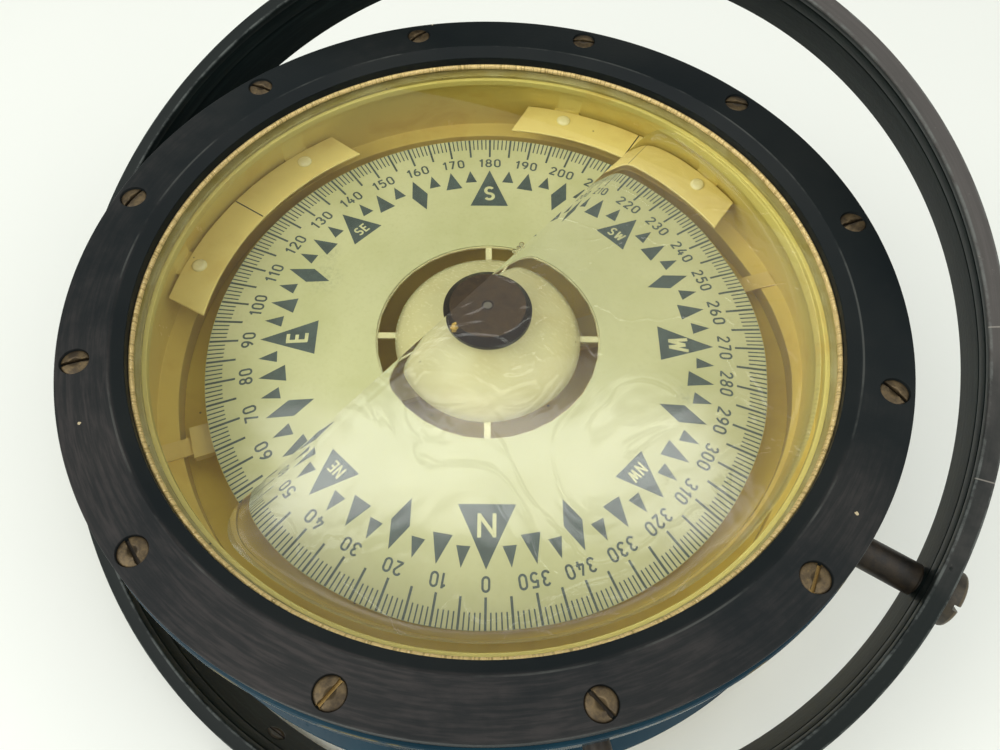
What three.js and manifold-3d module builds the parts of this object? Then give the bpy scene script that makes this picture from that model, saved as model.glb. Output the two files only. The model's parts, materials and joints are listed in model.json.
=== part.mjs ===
// A ship's liquid compass: a round bowl with a floating card under a cover glass, hung in a wide gimbal ring.
//
// Millimetres, +Z up. The origin is on the bowl's upright axis, on the surface that the compass stands on.
// +X lies along the pivot axis between bowl and ring. The bowl stands level on its ballast weight, and the free
// ring has swung down until its stud on the -Y side touches the same surface.

import * as THREE from "three";
import { mergeVertices } from "three/addons/utils/BufferGeometryUtils.js";
import Module from "manifold-3d";

const wasm = await Module();
wasm.setup();

const radians = THREE.MathUtils.degToRad;

// ---- Driving dimensions ----

const FINE = 72; // sides of the large rings whose outline shows
const COARSE = 48; // sides of the large hidden turnings
const GAP = 0.05; // left between faces that rest on each other

const RING_TILT = radians(25.8); // lean of the gimbal ring, its -Y side down
const AXIS_DEPTH = 28.5; // pivot axis below the top face of the bezel
const CARD_TURN = radians(-148); // heading of the card at rest: its north is at this angle plus 90 degrees

const gimbal = {
  inner: 118.6,
  outer: 122.8,
  height: 19.4,
  rise: 2, // middle of the band above the pivot axis
  chamfer: 0.5,
  groove: { above: 4.6, width: 0.6, deep: 0.3 },
  pivotHole: 3.1,
  studHole: 2.7,
  oilHole: { radius: 1, deep: 2.5 },
};

const stud = {
  radius: 5,
  reach: 12, // beyond the band's outer face
  collar: 8,
  collarThick: 1.8,
  shank: 2.6,
  proud: 0.3, // how far the shank's end stands inside the band
  slotWidth: 0.8,
  slotDeep: 0.8,
};

const bezel = {
  outer: 100.3,
  topInner: 88.8,
  lip: 85.6,
  lipTop: 1.65,
  lipUnder: 4.3,
  seat: 92.4, // radius of the recess that holds the glass
  under: 6.2,
  chamfer: 0.35,
};

const bezelScrew = {
  count: 12,
  circle: 95.9,
  firstAngle: 15,
  head: 3.25,
  shank: 1.6,
  headDeep: 1.8,
  sunk: 0.15,
  length: 11,
  slotWidth: 0.75,
  slotDeep: 0.9,
  slotAngles: [160, 53, 20, 25, 76, 10, 94, 49, 158, 82, 165, 97], // each slot's own direction
};

const glass = { radius: 91, top: 4.95, under: 8.7, chamfer: 0.3 };
const packing = { inner: 84.1, outer: 91.2 };
const gasket = { inner: 84, outer: 91.2, under: 10.3 };

const bowl = {
  flange: 101.2,
  flangeUnder: 13,
  wallOuter: 95.5,
  wallInner: 89.5,
  lip: 83,
  lipUnder: 13.4,
  ledge: 84,
  ledgeTop: 48.5,
  base: 102.2, // bottom flange
  baseTop: 52.6,
  baseUnder: 56,
};

const lubber = {
  places: [90, 180], // directions of the two plates
  inner: 77,
  outer: 88,
  top: 33,
  thick: 0.9,
  innerHalf: radians(27),
  outerHalf: radians(24),
  rivetAngle: 16,
  rivetCircle: 84,
  rivetHead: 2.1,
  rivetShank: 1,
  lugWidth: 8,
  lugInner: 80.5,
  lugDeep: 4.5,
};

// The card is a shallow cone: its top lies `high` deep at the hole and `low` deep at the edge.
const card = { inner: 29.5, outer: 74.8, high: 29.3, low: 36.9, thick: 0.6 };
const spider = {
  ringInner: 29.2,
  ringOuter: 40,
  hubInner: 14,
  hubOuter: 23,
  spoke: 1.7,
  thick: 0.8,
};
const float = { neck: 9, base: 24.5, top: 12.95, under: 30.2, wall: 0.9, well: 6.2 };
const cap = { top: 9, under: 12.88, face: 9.55, rim: 11.2, slope: 1.9 };
const jewel = { radius: 3, top: 13.95, under: 19.2, mouth: 2.2, apex: 17.3 };
const magnet = { radius: 2.4, length: 60, offset: 35 };

// The bridge's bar is longer at one end; `angle` is the direction of its shorter end.
const bridge = {
  thick: 3,
  width: 8.8,
  hub: 12,
  longEnd: 80.9,
  shortEnd: 66,
  footWidth: 5,
  footThick: 0.8,
  angle: radians(51.3),
};
const stem = { foot: 8, footThick: 2.4, radius: 2, top: 24, bore: 1.05, boreDeep: 5 };
const needle = { radius: 0.95, shoulder: 20.5, tip: 17.45 };

const diaphragm = { radius: 93.8, thick: 0.8, waveInner: 30, waveOuter: 78, waves: 2, height: 1.2 };
const clampRing = { inner: 84.5, outer: 93.8, thick: 1.4 };
const cover = { rimUnder: 58.6, wall: 1.8, bottom: 78, flat: 46, recess: 94.3 };
const coverScrew = { count: 4, circle: 99, firstAngle: 45, head: 2.4, headThick: 1.7, shank: 1.5, length: 5 };
const ballast = { radius: 44, chamfer: 1.5, recess: 12, recessDeep: 3 };

const trunnion = {
  radius: 4,
  collar: 8,
  collarThick: 2.5,
  root: 2.95,
  bore: 2.65,
  boreDeep: 14,
  thread: 2.5,
  journal: 3,
  head: 6.8,
  headThick: 4.2,
  round: 1,
  slotWidth: 1.3,
  slotDeep: 1.6,
  slotAngle: radians(129), // turn of the slot about the pivot axis, from +Y towards +Z
};

const filler = { angle: radians(-45), depth: 21, head: 2.9, reach: 106, shank: 1.9, washer: 4.2 };

// The ring leans on the lower edge of its low stud, and that sets how high the pivot axis and the bezel are.
const studEnd = gimbal.outer + stud.reach;
const AXIS_HEIGHT = studEnd * Math.sin(RING_TILT) + stud.radius * Math.cos(RING_TILT);
const TOP = AXIS_HEIGHT + AXIS_DEPTH;

// ---- Materials ----

const material = (color, roughness, metalness) =>
  new THREE.MeshStandardMaterial({ color, roughness, metalness });

const blackEnamel = material(0x2e3133, 0.45, 0.3);
const ringEnamel = material(0x1c2226, 0.4, 0.3);
const bronze = material(0x7a6248, 0.45, 0.9);
const brownBronze = material(0x3e3229, 0.5, 0.7);
const copper = material(0xb98b5e, 0.5, 0.6);
const clearGlass = new THREE.MeshStandardMaterial({
  color: 0xf4f8f4,
  roughness: 0.05,
  metalness: 0,
  transparent: true,
  opacity: 0.3,
});
const rubber = material(0x6f745c, 0.7, 0);
const tealPaint = material(0x2a5a6b, 0.3, 0.1);
const creamPaint = material(0xcdbd7c, 0.45, 0);
const cardCream = material(0xd6d6a0, 0.6, 0);
const capBrown = material(0x4a3c36, 0.5, 0.1);
const brass = material(0xb08d4a, 0.35, 0.9);
const steel = material(0x8d9296, 0.35, 0.9);
const lead = material(0x3a3d40, 0.6, 0.4);

// ---- Geometry helpers ----

// Height above the table of a point this far below the bezel's top face.
const at = (depth) => TOP - depth;

// Turns an outline of [radius, height] points about Z. The outline closes on itself, or both its ends are on
// the axis.
function turned(outline, sides = COARSE) {
  const area = outline.reduce((sum, [r, z], i) => {
    const [nextR, nextZ] = outline[(i + 1) % outline.length];
    return sum + r * nextZ - nextR * z;
  }, 0);
  const points = outline.map(([r, z]) => new THREE.Vector2(r, z));
  if (area < 0) points.reverse();
  const open = points[0].x === 0 && points.at(-1).x === 0;
  if (!open) points.push(points[0].clone());
  return new THREE.LatheGeometry(points, sides).rotateX(Math.PI / 2);
}

// The same, with each point given as [radius, depth below the bezel's top face].
const turnedAtDepth = (outline, sides) => turned(outline.map(([r, depth]) => [r, at(depth)]), sides);

// A cylinder along Z from one height to another.
const rod = (radius, low, high, sides = 16) =>
  turned([[0, low], [radius, low], [radius, high], [0, high]], sides);

// A box with its centre at a point.
const box = (x, y, z, centre = [0, 0, 0]) => new THREE.BoxGeometry(x, y, z).translate(...centre);

// Lays a piece built along +Z out along +X, then swings it round Z.
const alongX = (geometry, angle = 0) => geometry.rotateY(Math.PI / 2).rotateZ(angle);

function solid(geometry) {
  const bare = geometry.clone();
  bare.deleteAttribute("normal");
  bare.deleteAttribute("uv");
  const merged = mergeVertices(bare, 1e-4);
  const corners = [];
  for (let i = 0; i < merged.index.count; i += 3) {
    const [a, b, c] = [0, 1, 2].map((k) => merged.index.getX(i + k));
    if (a !== b && b !== c && c !== a) corners.push(a, b, c);
  }
  const vertProperties = new Float32Array(merged.attributes.position.array);
  return new wasm.Manifold(new wasm.Mesh({ numProp: 3, vertProperties, triVerts: new Uint32Array(corners) }));
}

function geometryOf(made) {
  const mesh = made.getMesh();
  return new THREE.BufferGeometry()
    .setAttribute("position", new THREE.BufferAttribute(new Float32Array(mesh.vertProperties), 3))
    .setIndex(new THREE.BufferAttribute(new Uint32Array(mesh.triVerts), 1));
}

const joined = (first, others) => others.reduce((sum, other) => sum.add(solid(other)), solid(first));
const cut = (made, cutters) =>
  geometryOf(cutters.reduce((left, cutter) => left.subtract(solid(cutter)), made));

// Angles in radians of evenly spaced places round a circle, the first one given in degrees.
const around = (count, first = 0) =>
  Array.from({ length: count }, (_, i) => radians(first + (360 * i) / count));
const onCircle = (radius, angle, height) =>
  new THREE.Vector3(radius * Math.cos(angle), radius * Math.sin(angle), height);

const compass = new THREE.Group();
const ringGroup = new THREE.Group();
const cardGroup = new THREE.Group();
compass.add(ringGroup, cardGroup);

function addPart(name, geometry, look, parent = compass) {
  const mesh = new THREE.Mesh(geometry, look);
  mesh.name = name;
  parent.add(mesh);
  return mesh;
}

const numbered = (name, i) => `${name}_${String(i + 1).padStart(2, "0")}`;

// ---- Bowl ----

const platePlaces = lubber.places.map(radians);
const rivetPlaces = platePlaces.flatMap((plate) =>
  [-1, 1].map((side) => plate + side * radians(lubber.rivetAngle)),
);

function bowlShell() {
  const shell = turnedAtDepth([
    [bowl.ledge, bowl.baseUnder],
    [bowl.base, bowl.baseUnder],
    [bowl.base, bowl.baseTop],
    [bowl.wallOuter + 1, bowl.baseTop - 0.6],
    [bowl.wallOuter, bowl.baseTop - 1.6],
    [bowl.wallOuter, bowl.flangeUnder + 1.5],
    [bowl.wallOuter + 1.5, bowl.flangeUnder],
    [bowl.flange, bowl.flangeUnder],
    [bowl.flange, bezel.under + 0.1],
    [bezel.seat, bezel.under + 0.1],
    [bezel.seat, gasket.under + GAP],
    [bowl.lip, gasket.under + GAP],
    [bowl.lip, bowl.lipUnder],
    [bowl.wallInner, bowl.lipUnder + 2],
    [bowl.wallInner, bowl.ledgeTop],
    [bowl.ledge, bowl.ledgeTop],
  ]);
  const lugTop = lubber.top + lubber.thick + GAP;
  const lugLength = bowl.wallInner + 1 - lubber.lugInner;
  const lugs = rivetPlaces.map((angle) => {
    const middle = [lubber.lugInner + lugLength / 2, 0, at(lugTop + lubber.lugDeep / 2)];
    return box(lugLength, lubber.lugWidth, lubber.lugDeep, middle).rotateZ(angle);
  });
  const rivetHoles = rivetPlaces.map((angle) =>
    rod(lubber.rivetShank + 0.15, at(lugTop + lubber.lugDeep + 1), at(lugTop - 1), 8)
      .translate(lubber.rivetCircle, 0, 0)
      .rotateZ(angle),
  );
  const screwHoles = around(bezelScrew.count, bezelScrew.firstAngle).map((angle) =>
    rod(bezelScrew.shank + 0.15, at(bowl.flangeUnder + 1), at(bezel.under - 1), 8)
      .translate(bezelScrew.circle, 0, 0)
      .rotateZ(angle),
  );
  const coverHoles = around(coverScrew.count, coverScrew.firstAngle).map((angle) =>
    rod(coverScrew.shank + 0.15, at(bowl.baseUnder + 1), at(bowl.baseTop - 1), 8)
      .translate(coverScrew.circle, 0, 0)
      .rotateZ(angle),
  );
  const wallMiddle = (bowl.wallInner + bowl.wallOuter) / 2;
  const trunnionBores = around(2).map((angle) =>
    alongX(rod(trunnion.root + 0.1, wallMiddle - 5, wallMiddle + 5, 24), angle).translate(0, 0, AXIS_HEIGHT),
  );
  const fillerBore = alongX(rod(filler.shank + 0.1, wallMiddle - 5, wallMiddle + 5, 16), filler.angle).translate(
    0,
    0,
    at(filler.depth),
  );
  return cut(joined(shell, lugs), [...rivetHoles, ...screwHoles, ...coverHoles, ...trunnionBores, fillerBore]);
}

function bezelRing() {
  const ring = turnedAtDepth(
    [
      [bezel.seat, bezel.under],
      [bezel.outer, bezel.under],
      [bezel.outer, bezel.chamfer],
      [bezel.outer - bezel.chamfer, 0],
      [bezel.topInner, 0],
      [bezel.lip, bezel.lipTop],
      [bezel.lip, bezel.lipUnder],
      [bezel.seat, bezel.lipUnder],
    ],
    FINE,
  );
  const wide = bezelScrew.head + 0.15;
  const narrow = bezelScrew.shank + 0.2;
  const countersinks = around(bezelScrew.count, bezelScrew.firstAngle).map((angle) =>
    turnedAtDepth([[0, -1], [wide, -1], [wide, 0.65], [narrow, 2.45], [narrow, 8], [0, 8]], 12)
      .translate(bezelScrew.circle, 0, 0)
      .rotateZ(angle),
  );
  return cut(solid(ring), countersinks);
}

// A countersunk screw with a slightly domed, slotted head; its top is at the origin.
function countersunkScrew() {
  const { head, shank, headDeep, length, slotWidth, slotDeep } = bezelScrew;
  const blank = turned(
    [[0, 0], [head, -0.35], [shank, -headDeep - 0.35], [shank, -length], [0, -length]],
    16,
  );
  return cut(solid(blank), [box(3 * head, slotWidth, slotDeep, [0, 0, -slotDeep / 2])]);
}

function coverGlass() {
  const { radius, top, under, chamfer } = glass;
  return turnedAtDepth(
    [[0, under], [radius, under], [radius, top + chamfer], [radius - chamfer, top], [0, top]],
    COARSE,
  );
}

// The packing is squeezed between lip and glass and swells into the opening as a rounded bead.
function packingRing() {
  const under = glass.top - GAP;
  const lip = bezel.lipUnder + GAP;
  const bead = [
    [packing.inner, under],
    [packing.inner, 4.35],
    [packing.inner + 0.6, 3.75],
    [bezel.lip - 0.15, 3.85],
    [bezel.lip - 0.1, lip],
  ];
  return turnedAtDepth([...bead, [packing.outer, lip], [packing.outer, under]], FINE);
}

function lowerGasket() {
  const { inner, outer, under } = gasket;
  const top = glass.under + GAP;
  return turnedAtDepth([[inner, under], [outer, under], [outer, top], [inner, top]], FINE);
}

// One lubber plate, centred on +X: an arc whose inner edge spans a wider angle than its outer edge.
function lubberPlate() {
  const { inner, outer, innerHalf, outerHalf, thick, top } = lubber;
  const shape = new THREE.Shape();
  shape.absarc(0, 0, outer, -outerHalf, outerHalf, false);
  shape.absarc(0, 0, inner, innerHalf, -innerHalf, true);
  shape.closePath();
  const plate = new THREE.ExtrudeGeometry(shape, { depth: thick, bevelEnabled: false, curveSegments: 10 });
  const holes = [-1, 1].map((side) =>
    rod(lubber.rivetShank + 0.15, -1, thick + 1, 8)
      .translate(lubber.rivetCircle, 0, 0)
      .rotateZ(side * radians(lubber.rivetAngle)),
  );
  return cut(solid(plate), holes).translate(0, 0, at(top + thick));
}

// A round-head rivet whose head sits on the origin's level.
function lubberRivet() {
  const { rivetHead: head, rivetShank: shank } = lubber;
  return turned([[0, -4.5], [shank, -4.5], [shank, GAP], [head, GAP], [head * 0.7, 0.8], [0, 1]], 10);
}

// A bar across the bowl with a round hub; thin feet at its ends rest on the bowl's ledge.
function pivotBridge() {
  const { thick, width, hub, longEnd, shortEnd, footWidth, footThick, angle } = bridge;
  const low = at(bowl.ledgeTop - GAP);
  const middle = [(shortEnd - longEnd) / 2, 0, low + thick / 2];
  const bar = box(shortEnd + longEnd, width, thick, middle).rotateZ(angle);
  const feet = box(2 * bowl.wallInner, footWidth, footThick, [0, 0, low + footThick / 2]).rotateZ(angle);
  const round = solid(rod(bowl.wallInner - 0.6, low - 5, low + 9, FINE));
  return geometryOf(joined(bar, [feet, rod(hub, low, low + thick, 32)]).intersect(round));
}

function pivotStem() {
  const foot = bowl.ledgeTop - bridge.thick - 3 * GAP;
  const shoulder = foot - stem.footThick;
  return turnedAtDepth(
    [
      [0, foot],
      [stem.foot, foot],
      [stem.foot, shoulder],
      [stem.radius + 1, shoulder - 1],
      [stem.radius, shoulder - 4],
      [stem.radius, stem.top],
      [stem.bore, stem.top],
      [stem.bore, stem.top + stem.boreDeep],
      [0, stem.top + stem.boreDeep],
    ],
    20,
  );
}

function pivotNeedle() {
  const low = stem.top + stem.boreDeep - GAP;
  return turnedAtDepth([[0, low], [needle.radius, low], [needle.radius, needle.shoulder], [0, needle.tip]], 12);
}

// The thin bottom disc, pressed in waves so that it gives as the liquid swells.
function bellows() {
  const top = bowl.baseUnder + GAP;
  const { radius, thick, waveInner, waveOuter, waves, height } = diaphragm;
  const steps = 4 * waves;
  const upper = [[0, 0]];
  for (let i = 0; i <= steps; i++) {
    const r = waveInner + ((waveOuter - waveInner) * i) / steps;
    upper.push([r, height * Math.sin((Math.PI * i) / 2)]);
  }
  upper.push([radius, 0]);
  const lower = upper.map(([r, z]) => [r, z + thick]).reverse();
  return turnedAtDepth([...upper, ...lower].map(([r, z]) => [r, top + z]), 24);
}

function diaphragmRing() {
  const top = bowl.baseUnder + diaphragm.thick + 2 * GAP;
  const { inner, outer, thick } = clampRing;
  return turnedAtDepth([[inner, top + thick], [outer, top + thick], [outer, top], [inner, top]], COARSE);
}

function bottomCover() {
  const rimTop = bowl.baseUnder + GAP;
  const { rimUnder, wall, bottom, flat, recess } = cover;
  const pan = turnedAtDepth([
    [recess, rimTop],
    [bowl.base, rimTop],
    [bowl.base, rimUnder - 0.3],
    [bowl.base - 0.3, rimUnder],
    [95.6, rimUnder],
    [93, rimUnder + 2],
    [flat, bottom],
    [6, bottom],
    [6, bottom - wall],
    [flat - 1, bottom - wall],
    [recess - 2, rimUnder + 0.5],
    [recess, rimUnder - 0.2],
  ]);
  const holes = around(coverScrew.count, coverScrew.firstAngle).map((angle) =>
    rod(coverScrew.shank + 0.15, at(rimUnder + 1), at(rimTop - 1), 8)
      .translate(coverScrew.circle, 0, 0)
      .rotateZ(angle),
  );
  return cut(solid(pan), holes);
}

// A cheese-head screw that points up; the underside of the rim that it holds is at the origin.
function cheeseHeadScrew() {
  const { head, headThick, shank, length } = coverScrew;
  const blank = turned(
    [[0, -headThick], [head, -headThick], [head, -GAP], [shank, -GAP], [shank, length], [0, length]],
    10,
  );
  return cut(solid(blank), [box(3 * head, 0.7, 0.8, [0, 0, 0.4 - headThick])]);
}

function ballastWeight() {
  const top = at(cover.bottom + GAP);
  const { radius, chamfer, recess, recessDeep } = ballast;
  return turned(
    [
      [recess, 0],
      [radius - chamfer, 0],
      [radius, chamfer],
      [radius, top],
      [0, top],
      [0, recessDeep],
      [recess, recessDeep],
    ],
    40,
  );
}

// The boss that carries the bowl, built along +X, with a threaded bore in its outer end.
function trunnionBoss(angle) {
  const wall = bowl.wallOuter + 0.2;
  const end = gimbal.inner - 0.4;
  const boss = turned(
    [
      [0, bowl.wallInner + 0.8],
      [trunnion.root, bowl.wallInner + 0.8],
      [trunnion.root, wall],
      [trunnion.collar, wall],
      [trunnion.collar, wall + trunnion.collarThick],
      [trunnion.radius, wall + trunnion.collarThick + 0.8],
      [trunnion.radius, end - 0.4],
      [trunnion.radius - 0.4, end],
      [trunnion.bore, end],
      [trunnion.bore, end - trunnion.boreDeep],
      [0, end - trunnion.boreDeep],
    ],
    20,
  );
  return alongX(boss, angle).translate(0, 0, AXIS_HEIGHT);
}

// The big slotted screw that the ring turns on: thread in the boss, plain journal in the ring, head outside.
function trunnionScrew(angle) {
  const { thread, journal, head, headThick, round, slotWidth, slotDeep } = trunnion;
  const end = gimbal.inner - 0.4 - trunnion.boreDeep + 1;
  const seat = gimbal.outer + 0.25;
  const blank = turned(
    [
      [0, end],
      [thread, end],
      [thread, gimbal.inner - 0.3],
      [journal, gimbal.inner - 0.3],
      [journal, seat],
      [head, seat],
      [head, seat + headThick - round],
      [head - 0.3 * round, seat + headThick - 0.3 * round],
      [head - round, seat + headThick],
      [0, seat + headThick],
    ],
    24,
  );
  const slot = box(slotWidth, 3 * head, slotDeep, [0, 0, seat + headThick - slotDeep / 2]);
  slot.rotateZ(trunnion.slotAngle);
  return alongX(cut(solid(blank), [slot]), angle).translate(0, 0, AXIS_HEIGHT);
}

function fillerPlug() {
  const seat = bowl.wallOuter + 1.4;
  const { head, shank, reach, angle, depth } = filler;
  const blank = turned(
    [
      [0, bowl.wallInner + 0.8],
      [shank, bowl.wallInner + 0.8],
      [shank, seat],
      [head, seat],
      [head, reach - 0.4],
      [head - 0.4, reach],
      [0, reach],
    ],
    20,
  );
  const slot = box(0.9, 3 * head, 1.2, [0, 0, reach - 0.6]);
  return alongX(cut(solid(blank), [slot]), angle).translate(0, 0, at(depth));
}

function fillerWasher() {
  const inner = filler.shank + 0.2;
  const low = bowl.wallOuter + 0.15;
  const high = bowl.wallOuter + 1.3;
  const washer = turned([[inner, low], [filler.washer, low], [filler.washer, high], [inner, high]], 20);
  return alongX(washer, filler.angle).translate(0, 0, at(filler.depth));
}

function buildBowl() {
  addPart("bowl_shell", bowlShell(), tealPaint);
  addPart("bezel_ring", bezelRing(), blackEnamel);
  around(bezelScrew.count, bezelScrew.firstAngle).forEach((angle, i) => {
    const screw = addPart(numbered("bezel_screw", i), countersunkScrew(), bronze);
    screw.position.copy(onCircle(bezelScrew.circle, angle, at(bezelScrew.sunk)));
    screw.rotation.z = radians(bezelScrew.slotAngles[i]);
  });
  addPart("packing_ring", packingRing(), copper);
  addPart("cover_glass", coverGlass(), clearGlass);
  addPart("lower_gasket", lowerGasket(), rubber);
  platePlaces.forEach((angle, i) => {
    addPart(numbered("lubber_plate", i), lubberPlate(), creamPaint).rotation.z = angle;
  });
  rivetPlaces.forEach((angle, i) => {
    const rivet = addPart(numbered("lubber_rivet", i), lubberRivet(), creamPaint);
    rivet.position.copy(onCircle(lubber.rivetCircle, angle, at(lubber.top)));
  });
  addPart("pivot_bridge", pivotBridge(), creamPaint);
  addPart("pivot_stem", pivotStem(), brass);
  addPart("pivot_needle", pivotNeedle(), steel);
  addPart("diaphragm", bellows(), creamPaint);
  addPart("diaphragm_ring", diaphragmRing(), brass);
  addPart("bottom_cover", bottomCover(), tealPaint);
  around(coverScrew.count, coverScrew.firstAngle).forEach((angle, i) => {
    const screw = addPart(numbered("cover_screw", i), cheeseHeadScrew(), bronze);
    screw.position.copy(onCircle(coverScrew.circle, angle, at(cover.rimUnder)));
    screw.rotation.z = 2 * angle;
  });
  addPart("ballast_weight", ballastWeight(), lead);
  around(2).forEach((angle, i) => {
    addPart(numbered("trunnion_boss", i), trunnionBoss(angle), brownBronze);
    addPart(numbered("trunnion_screw", i), trunnionScrew(angle), bronze);
  });
  addPart("filler_plug", fillerPlug(), brownBronze);
  addPart("filler_washer", fillerWasher(), rubber);
}

// ---- Gimbal ring: built level about the pivot axis, then leaned over as one group ----

function gimbalBand() {
  const { inner, outer, height, rise, chamfer, groove } = gimbal;
  const low = rise - height / 2;
  const high = rise + height / 2;
  const band = turned(
    [
      [inner, low],
      [outer - chamfer, low],
      [outer, low + chamfer],
      [outer, high - chamfer],
      [outer - chamfer, high],
      [inner + chamfer, high],
      [inner, high - chamfer],
      [inner, groove.above + groove.width],
      [inner + groove.deep, groove.above + groove.width / 2],
      [inner, groove.above],
    ],
    FINE,
  );
  const pivotHoles = around(2).map((angle) => alongX(rod(gimbal.pivotHole, inner - 5, outer + 5, 28), angle));
  const studHoles = around(2, 90).map((angle) => alongX(rod(gimbal.studHole, inner - 5, outer + 5, 20), angle));
  const oilHoles = around(2).map((angle) =>
    rod(gimbal.oilHole.radius, high - gimbal.oilHole.deep, high + 1, 12)
      .translate((inner + outer) / 2, 0, 0)
      .rotateZ(angle),
  );
  return cut(solid(band), [...pivotHoles, ...studHoles, ...oilHoles]);
}

// The stud that would sit in the binnacle's bearing: its shank is screwed through the band from outside, and the
// shank's slotted end shows on the band's inner wall.
function ringStud(angle) {
  const { radius, collar, collarThick, shank, proud, slotWidth, slotDeep } = stud;
  const face = gimbal.outer + 0.3;
  const inside = gimbal.inner - proud;
  const piece = turned(
    [
      [0, inside],
      [shank, inside],
      [shank, face],
      [collar, face],
      [collar, face + collarThick],
      [radius, face + collarThick + 0.6],
      [radius, studEnd],
      [0, studEnd],
    ],
    18,
  );
  const slot = box(slotWidth, 3 * shank, slotDeep, [0, 0, inside + slotDeep / 2]);
  return alongX(cut(solid(piece), [slot]), angle);
}

function buildRing() {
  addPart("gimbal_ring", gimbalBand(), ringEnamel, ringGroup);
  around(2, 90).forEach((angle, i) => {
    addPart(numbered("ring_stud", i), ringStud(angle), brownBronze, ringGroup);
  });
  ringGroup.position.z = AXIS_HEIGHT;
  ringGroup.rotation.x = RING_TILT;
}

// ---- Card: built with north along +Y, then turned to its heading as one group ----

// Depth of the card's top at a distance from its axis.
function cardDepth(radius) {
  return card.high + ((card.low - card.high) * (radius - card.inner)) / (card.outer - card.inner);
}

// A sloping ring that lies `below` under the card's top, from one radius to another.
function coneRing(inner, outer, below, thick, sides) {
  const high = (radius) => cardDepth(radius) + below;
  return turnedAtDepth(
    [[inner, high(inner) + thick], [outer, high(outer) + thick], [outer, high(outer)], [inner, high(inner)]],
    sides,
  );
}

// A stiffening ring under the card, a hub under the float and four narrow spokes between them.
function cardSpider() {
  const high = at(float.under + GAP);
  const low = high - spider.thick;
  const hub = turned(
    [[spider.hubInner, low], [spider.hubOuter, low], [spider.hubOuter, high], [spider.hubInner, high]],
    32,
  );
  const spokes = [0, Math.PI / 2].map((angle) =>
    box(2 * (spider.ringInner + 1), spider.spoke, spider.thick, [0, 0, (low + high) / 2]).rotateZ(angle),
  );
  const ring = coneRing(spider.ringInner, spider.ringOuter, card.thick + GAP, spider.thick, 32);
  const star = joined(ring, [hub, ...spokes]);
  return cut(star, [rod(spider.hubInner + 0.5, low - 1, high + 1, 32)]);
}

// The bell's outside: a short neck that flares out to the base in a hollow then rounded curve.
function floatDome() {
  const { neck, base, top, under, wall } = float;
  const flare = new THREE.CubicBezierCurve(
    new THREE.Vector2(neck, top + 1),
    new THREE.Vector2(neck + 0.5, top + 6.5),
    new THREE.Vector2(base - 2, under - 10),
    new THREE.Vector2(base, under),
  );
  const outside = flare.getPoints(7).map(({ x, y }) => [x, y]);
  const inside = flare.getPoints(7).map(({ x, y }) => [x - wall, y]).reverse();
  const outline = [[0, top], [neck, top], ...outside, ...inside, [neck - wall, top + wall], [0, top + wall]];
  return turnedAtDepth(outline, 36);
}

// Closes the float from below and forms the well that the pivot stem stands in.
function floatBase() {
  const { base, under, wall, well } = float;
  const rim = base - wall - 0.6;
  const throat = jewel.radius + 0.15;
  const mouthTop = jewel.under - 3;
  return turnedAtDepth(
    [
      [well, under],
      [rim, under],
      [rim - 0.1, under - 0.8],
      [well + 0.8, under - 0.8],
      [throat + 0.8, jewel.under + 1.5],
      [throat + 0.7, mouthTop],
      [throat, mouthTop],
      [throat, jewel.under + 1.5],
    ],
    32,
  );
}

function cardCap() {
  const { top, under, face, rim, slope } = cap;
  return turnedAtDepth(
    [
      [0, top + 0.05],
      [1, top + 0.05],
      [1.1, top + 0.35],
      [1.5, top],
      [face, top],
      [rim, top + slope],
      [rim, under - 0.3],
      [rim - 0.5, under],
      [0, under],
    ],
    36,
  );
}

function jewelCup() {
  const { radius, top, under, mouth, apex } = jewel;
  return turnedAtDepth([[0, top], [radius, top], [radius, under], [mouth, under], [0, apex]], 16);
}

function cardMagnet(side) {
  const end = Math.hypot(magnet.offset, magnet.length / 2);
  const depth = cardDepth(end) + card.thick + spider.thick + magnet.radius;
  const bar = rod(magnet.radius, -magnet.length / 2, magnet.length / 2, 12).rotateX(Math.PI / 2);
  return bar.translate(side * magnet.offset, 0, at(depth));
}

function buildCard() {
  addPart("compass_card", coneRing(card.inner, card.outer, 0, card.thick, FINE), cardCream, cardGroup);
  addPart("card_spider", cardSpider(), cardCream, cardGroup);
  addPart("float_dome", floatDome(), cardCream, cardGroup);
  addPart("float_base", floatBase(), cardCream, cardGroup);
  addPart("card_cap", cardCap(), capBrown, cardGroup);
  addPart("jewel_cup", jewelCup(), brass, cardGroup);
  [-1, 1].forEach((side, i) => addPart(numbered("card_magnet", i), cardMagnet(side), steel, cardGroup));
  cardGroup.rotation.z = CARD_TURN;
}

buildBowl();
buildRing();
buildCard();

export default compass;
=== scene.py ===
"""The looks of a ship's liquid compass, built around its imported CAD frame.

Lengths in this script are millimetres unless a name says otherwise; meshes are written in metres.
Depths are measured down from the top face of the bezel, as in the CAD source.
"""

import json
import math

import bmesh
import bpy
import numpy as np
from mathutils import Matrix, Vector
from mathutils.geometry import delaunay_2d_cdt


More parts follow.
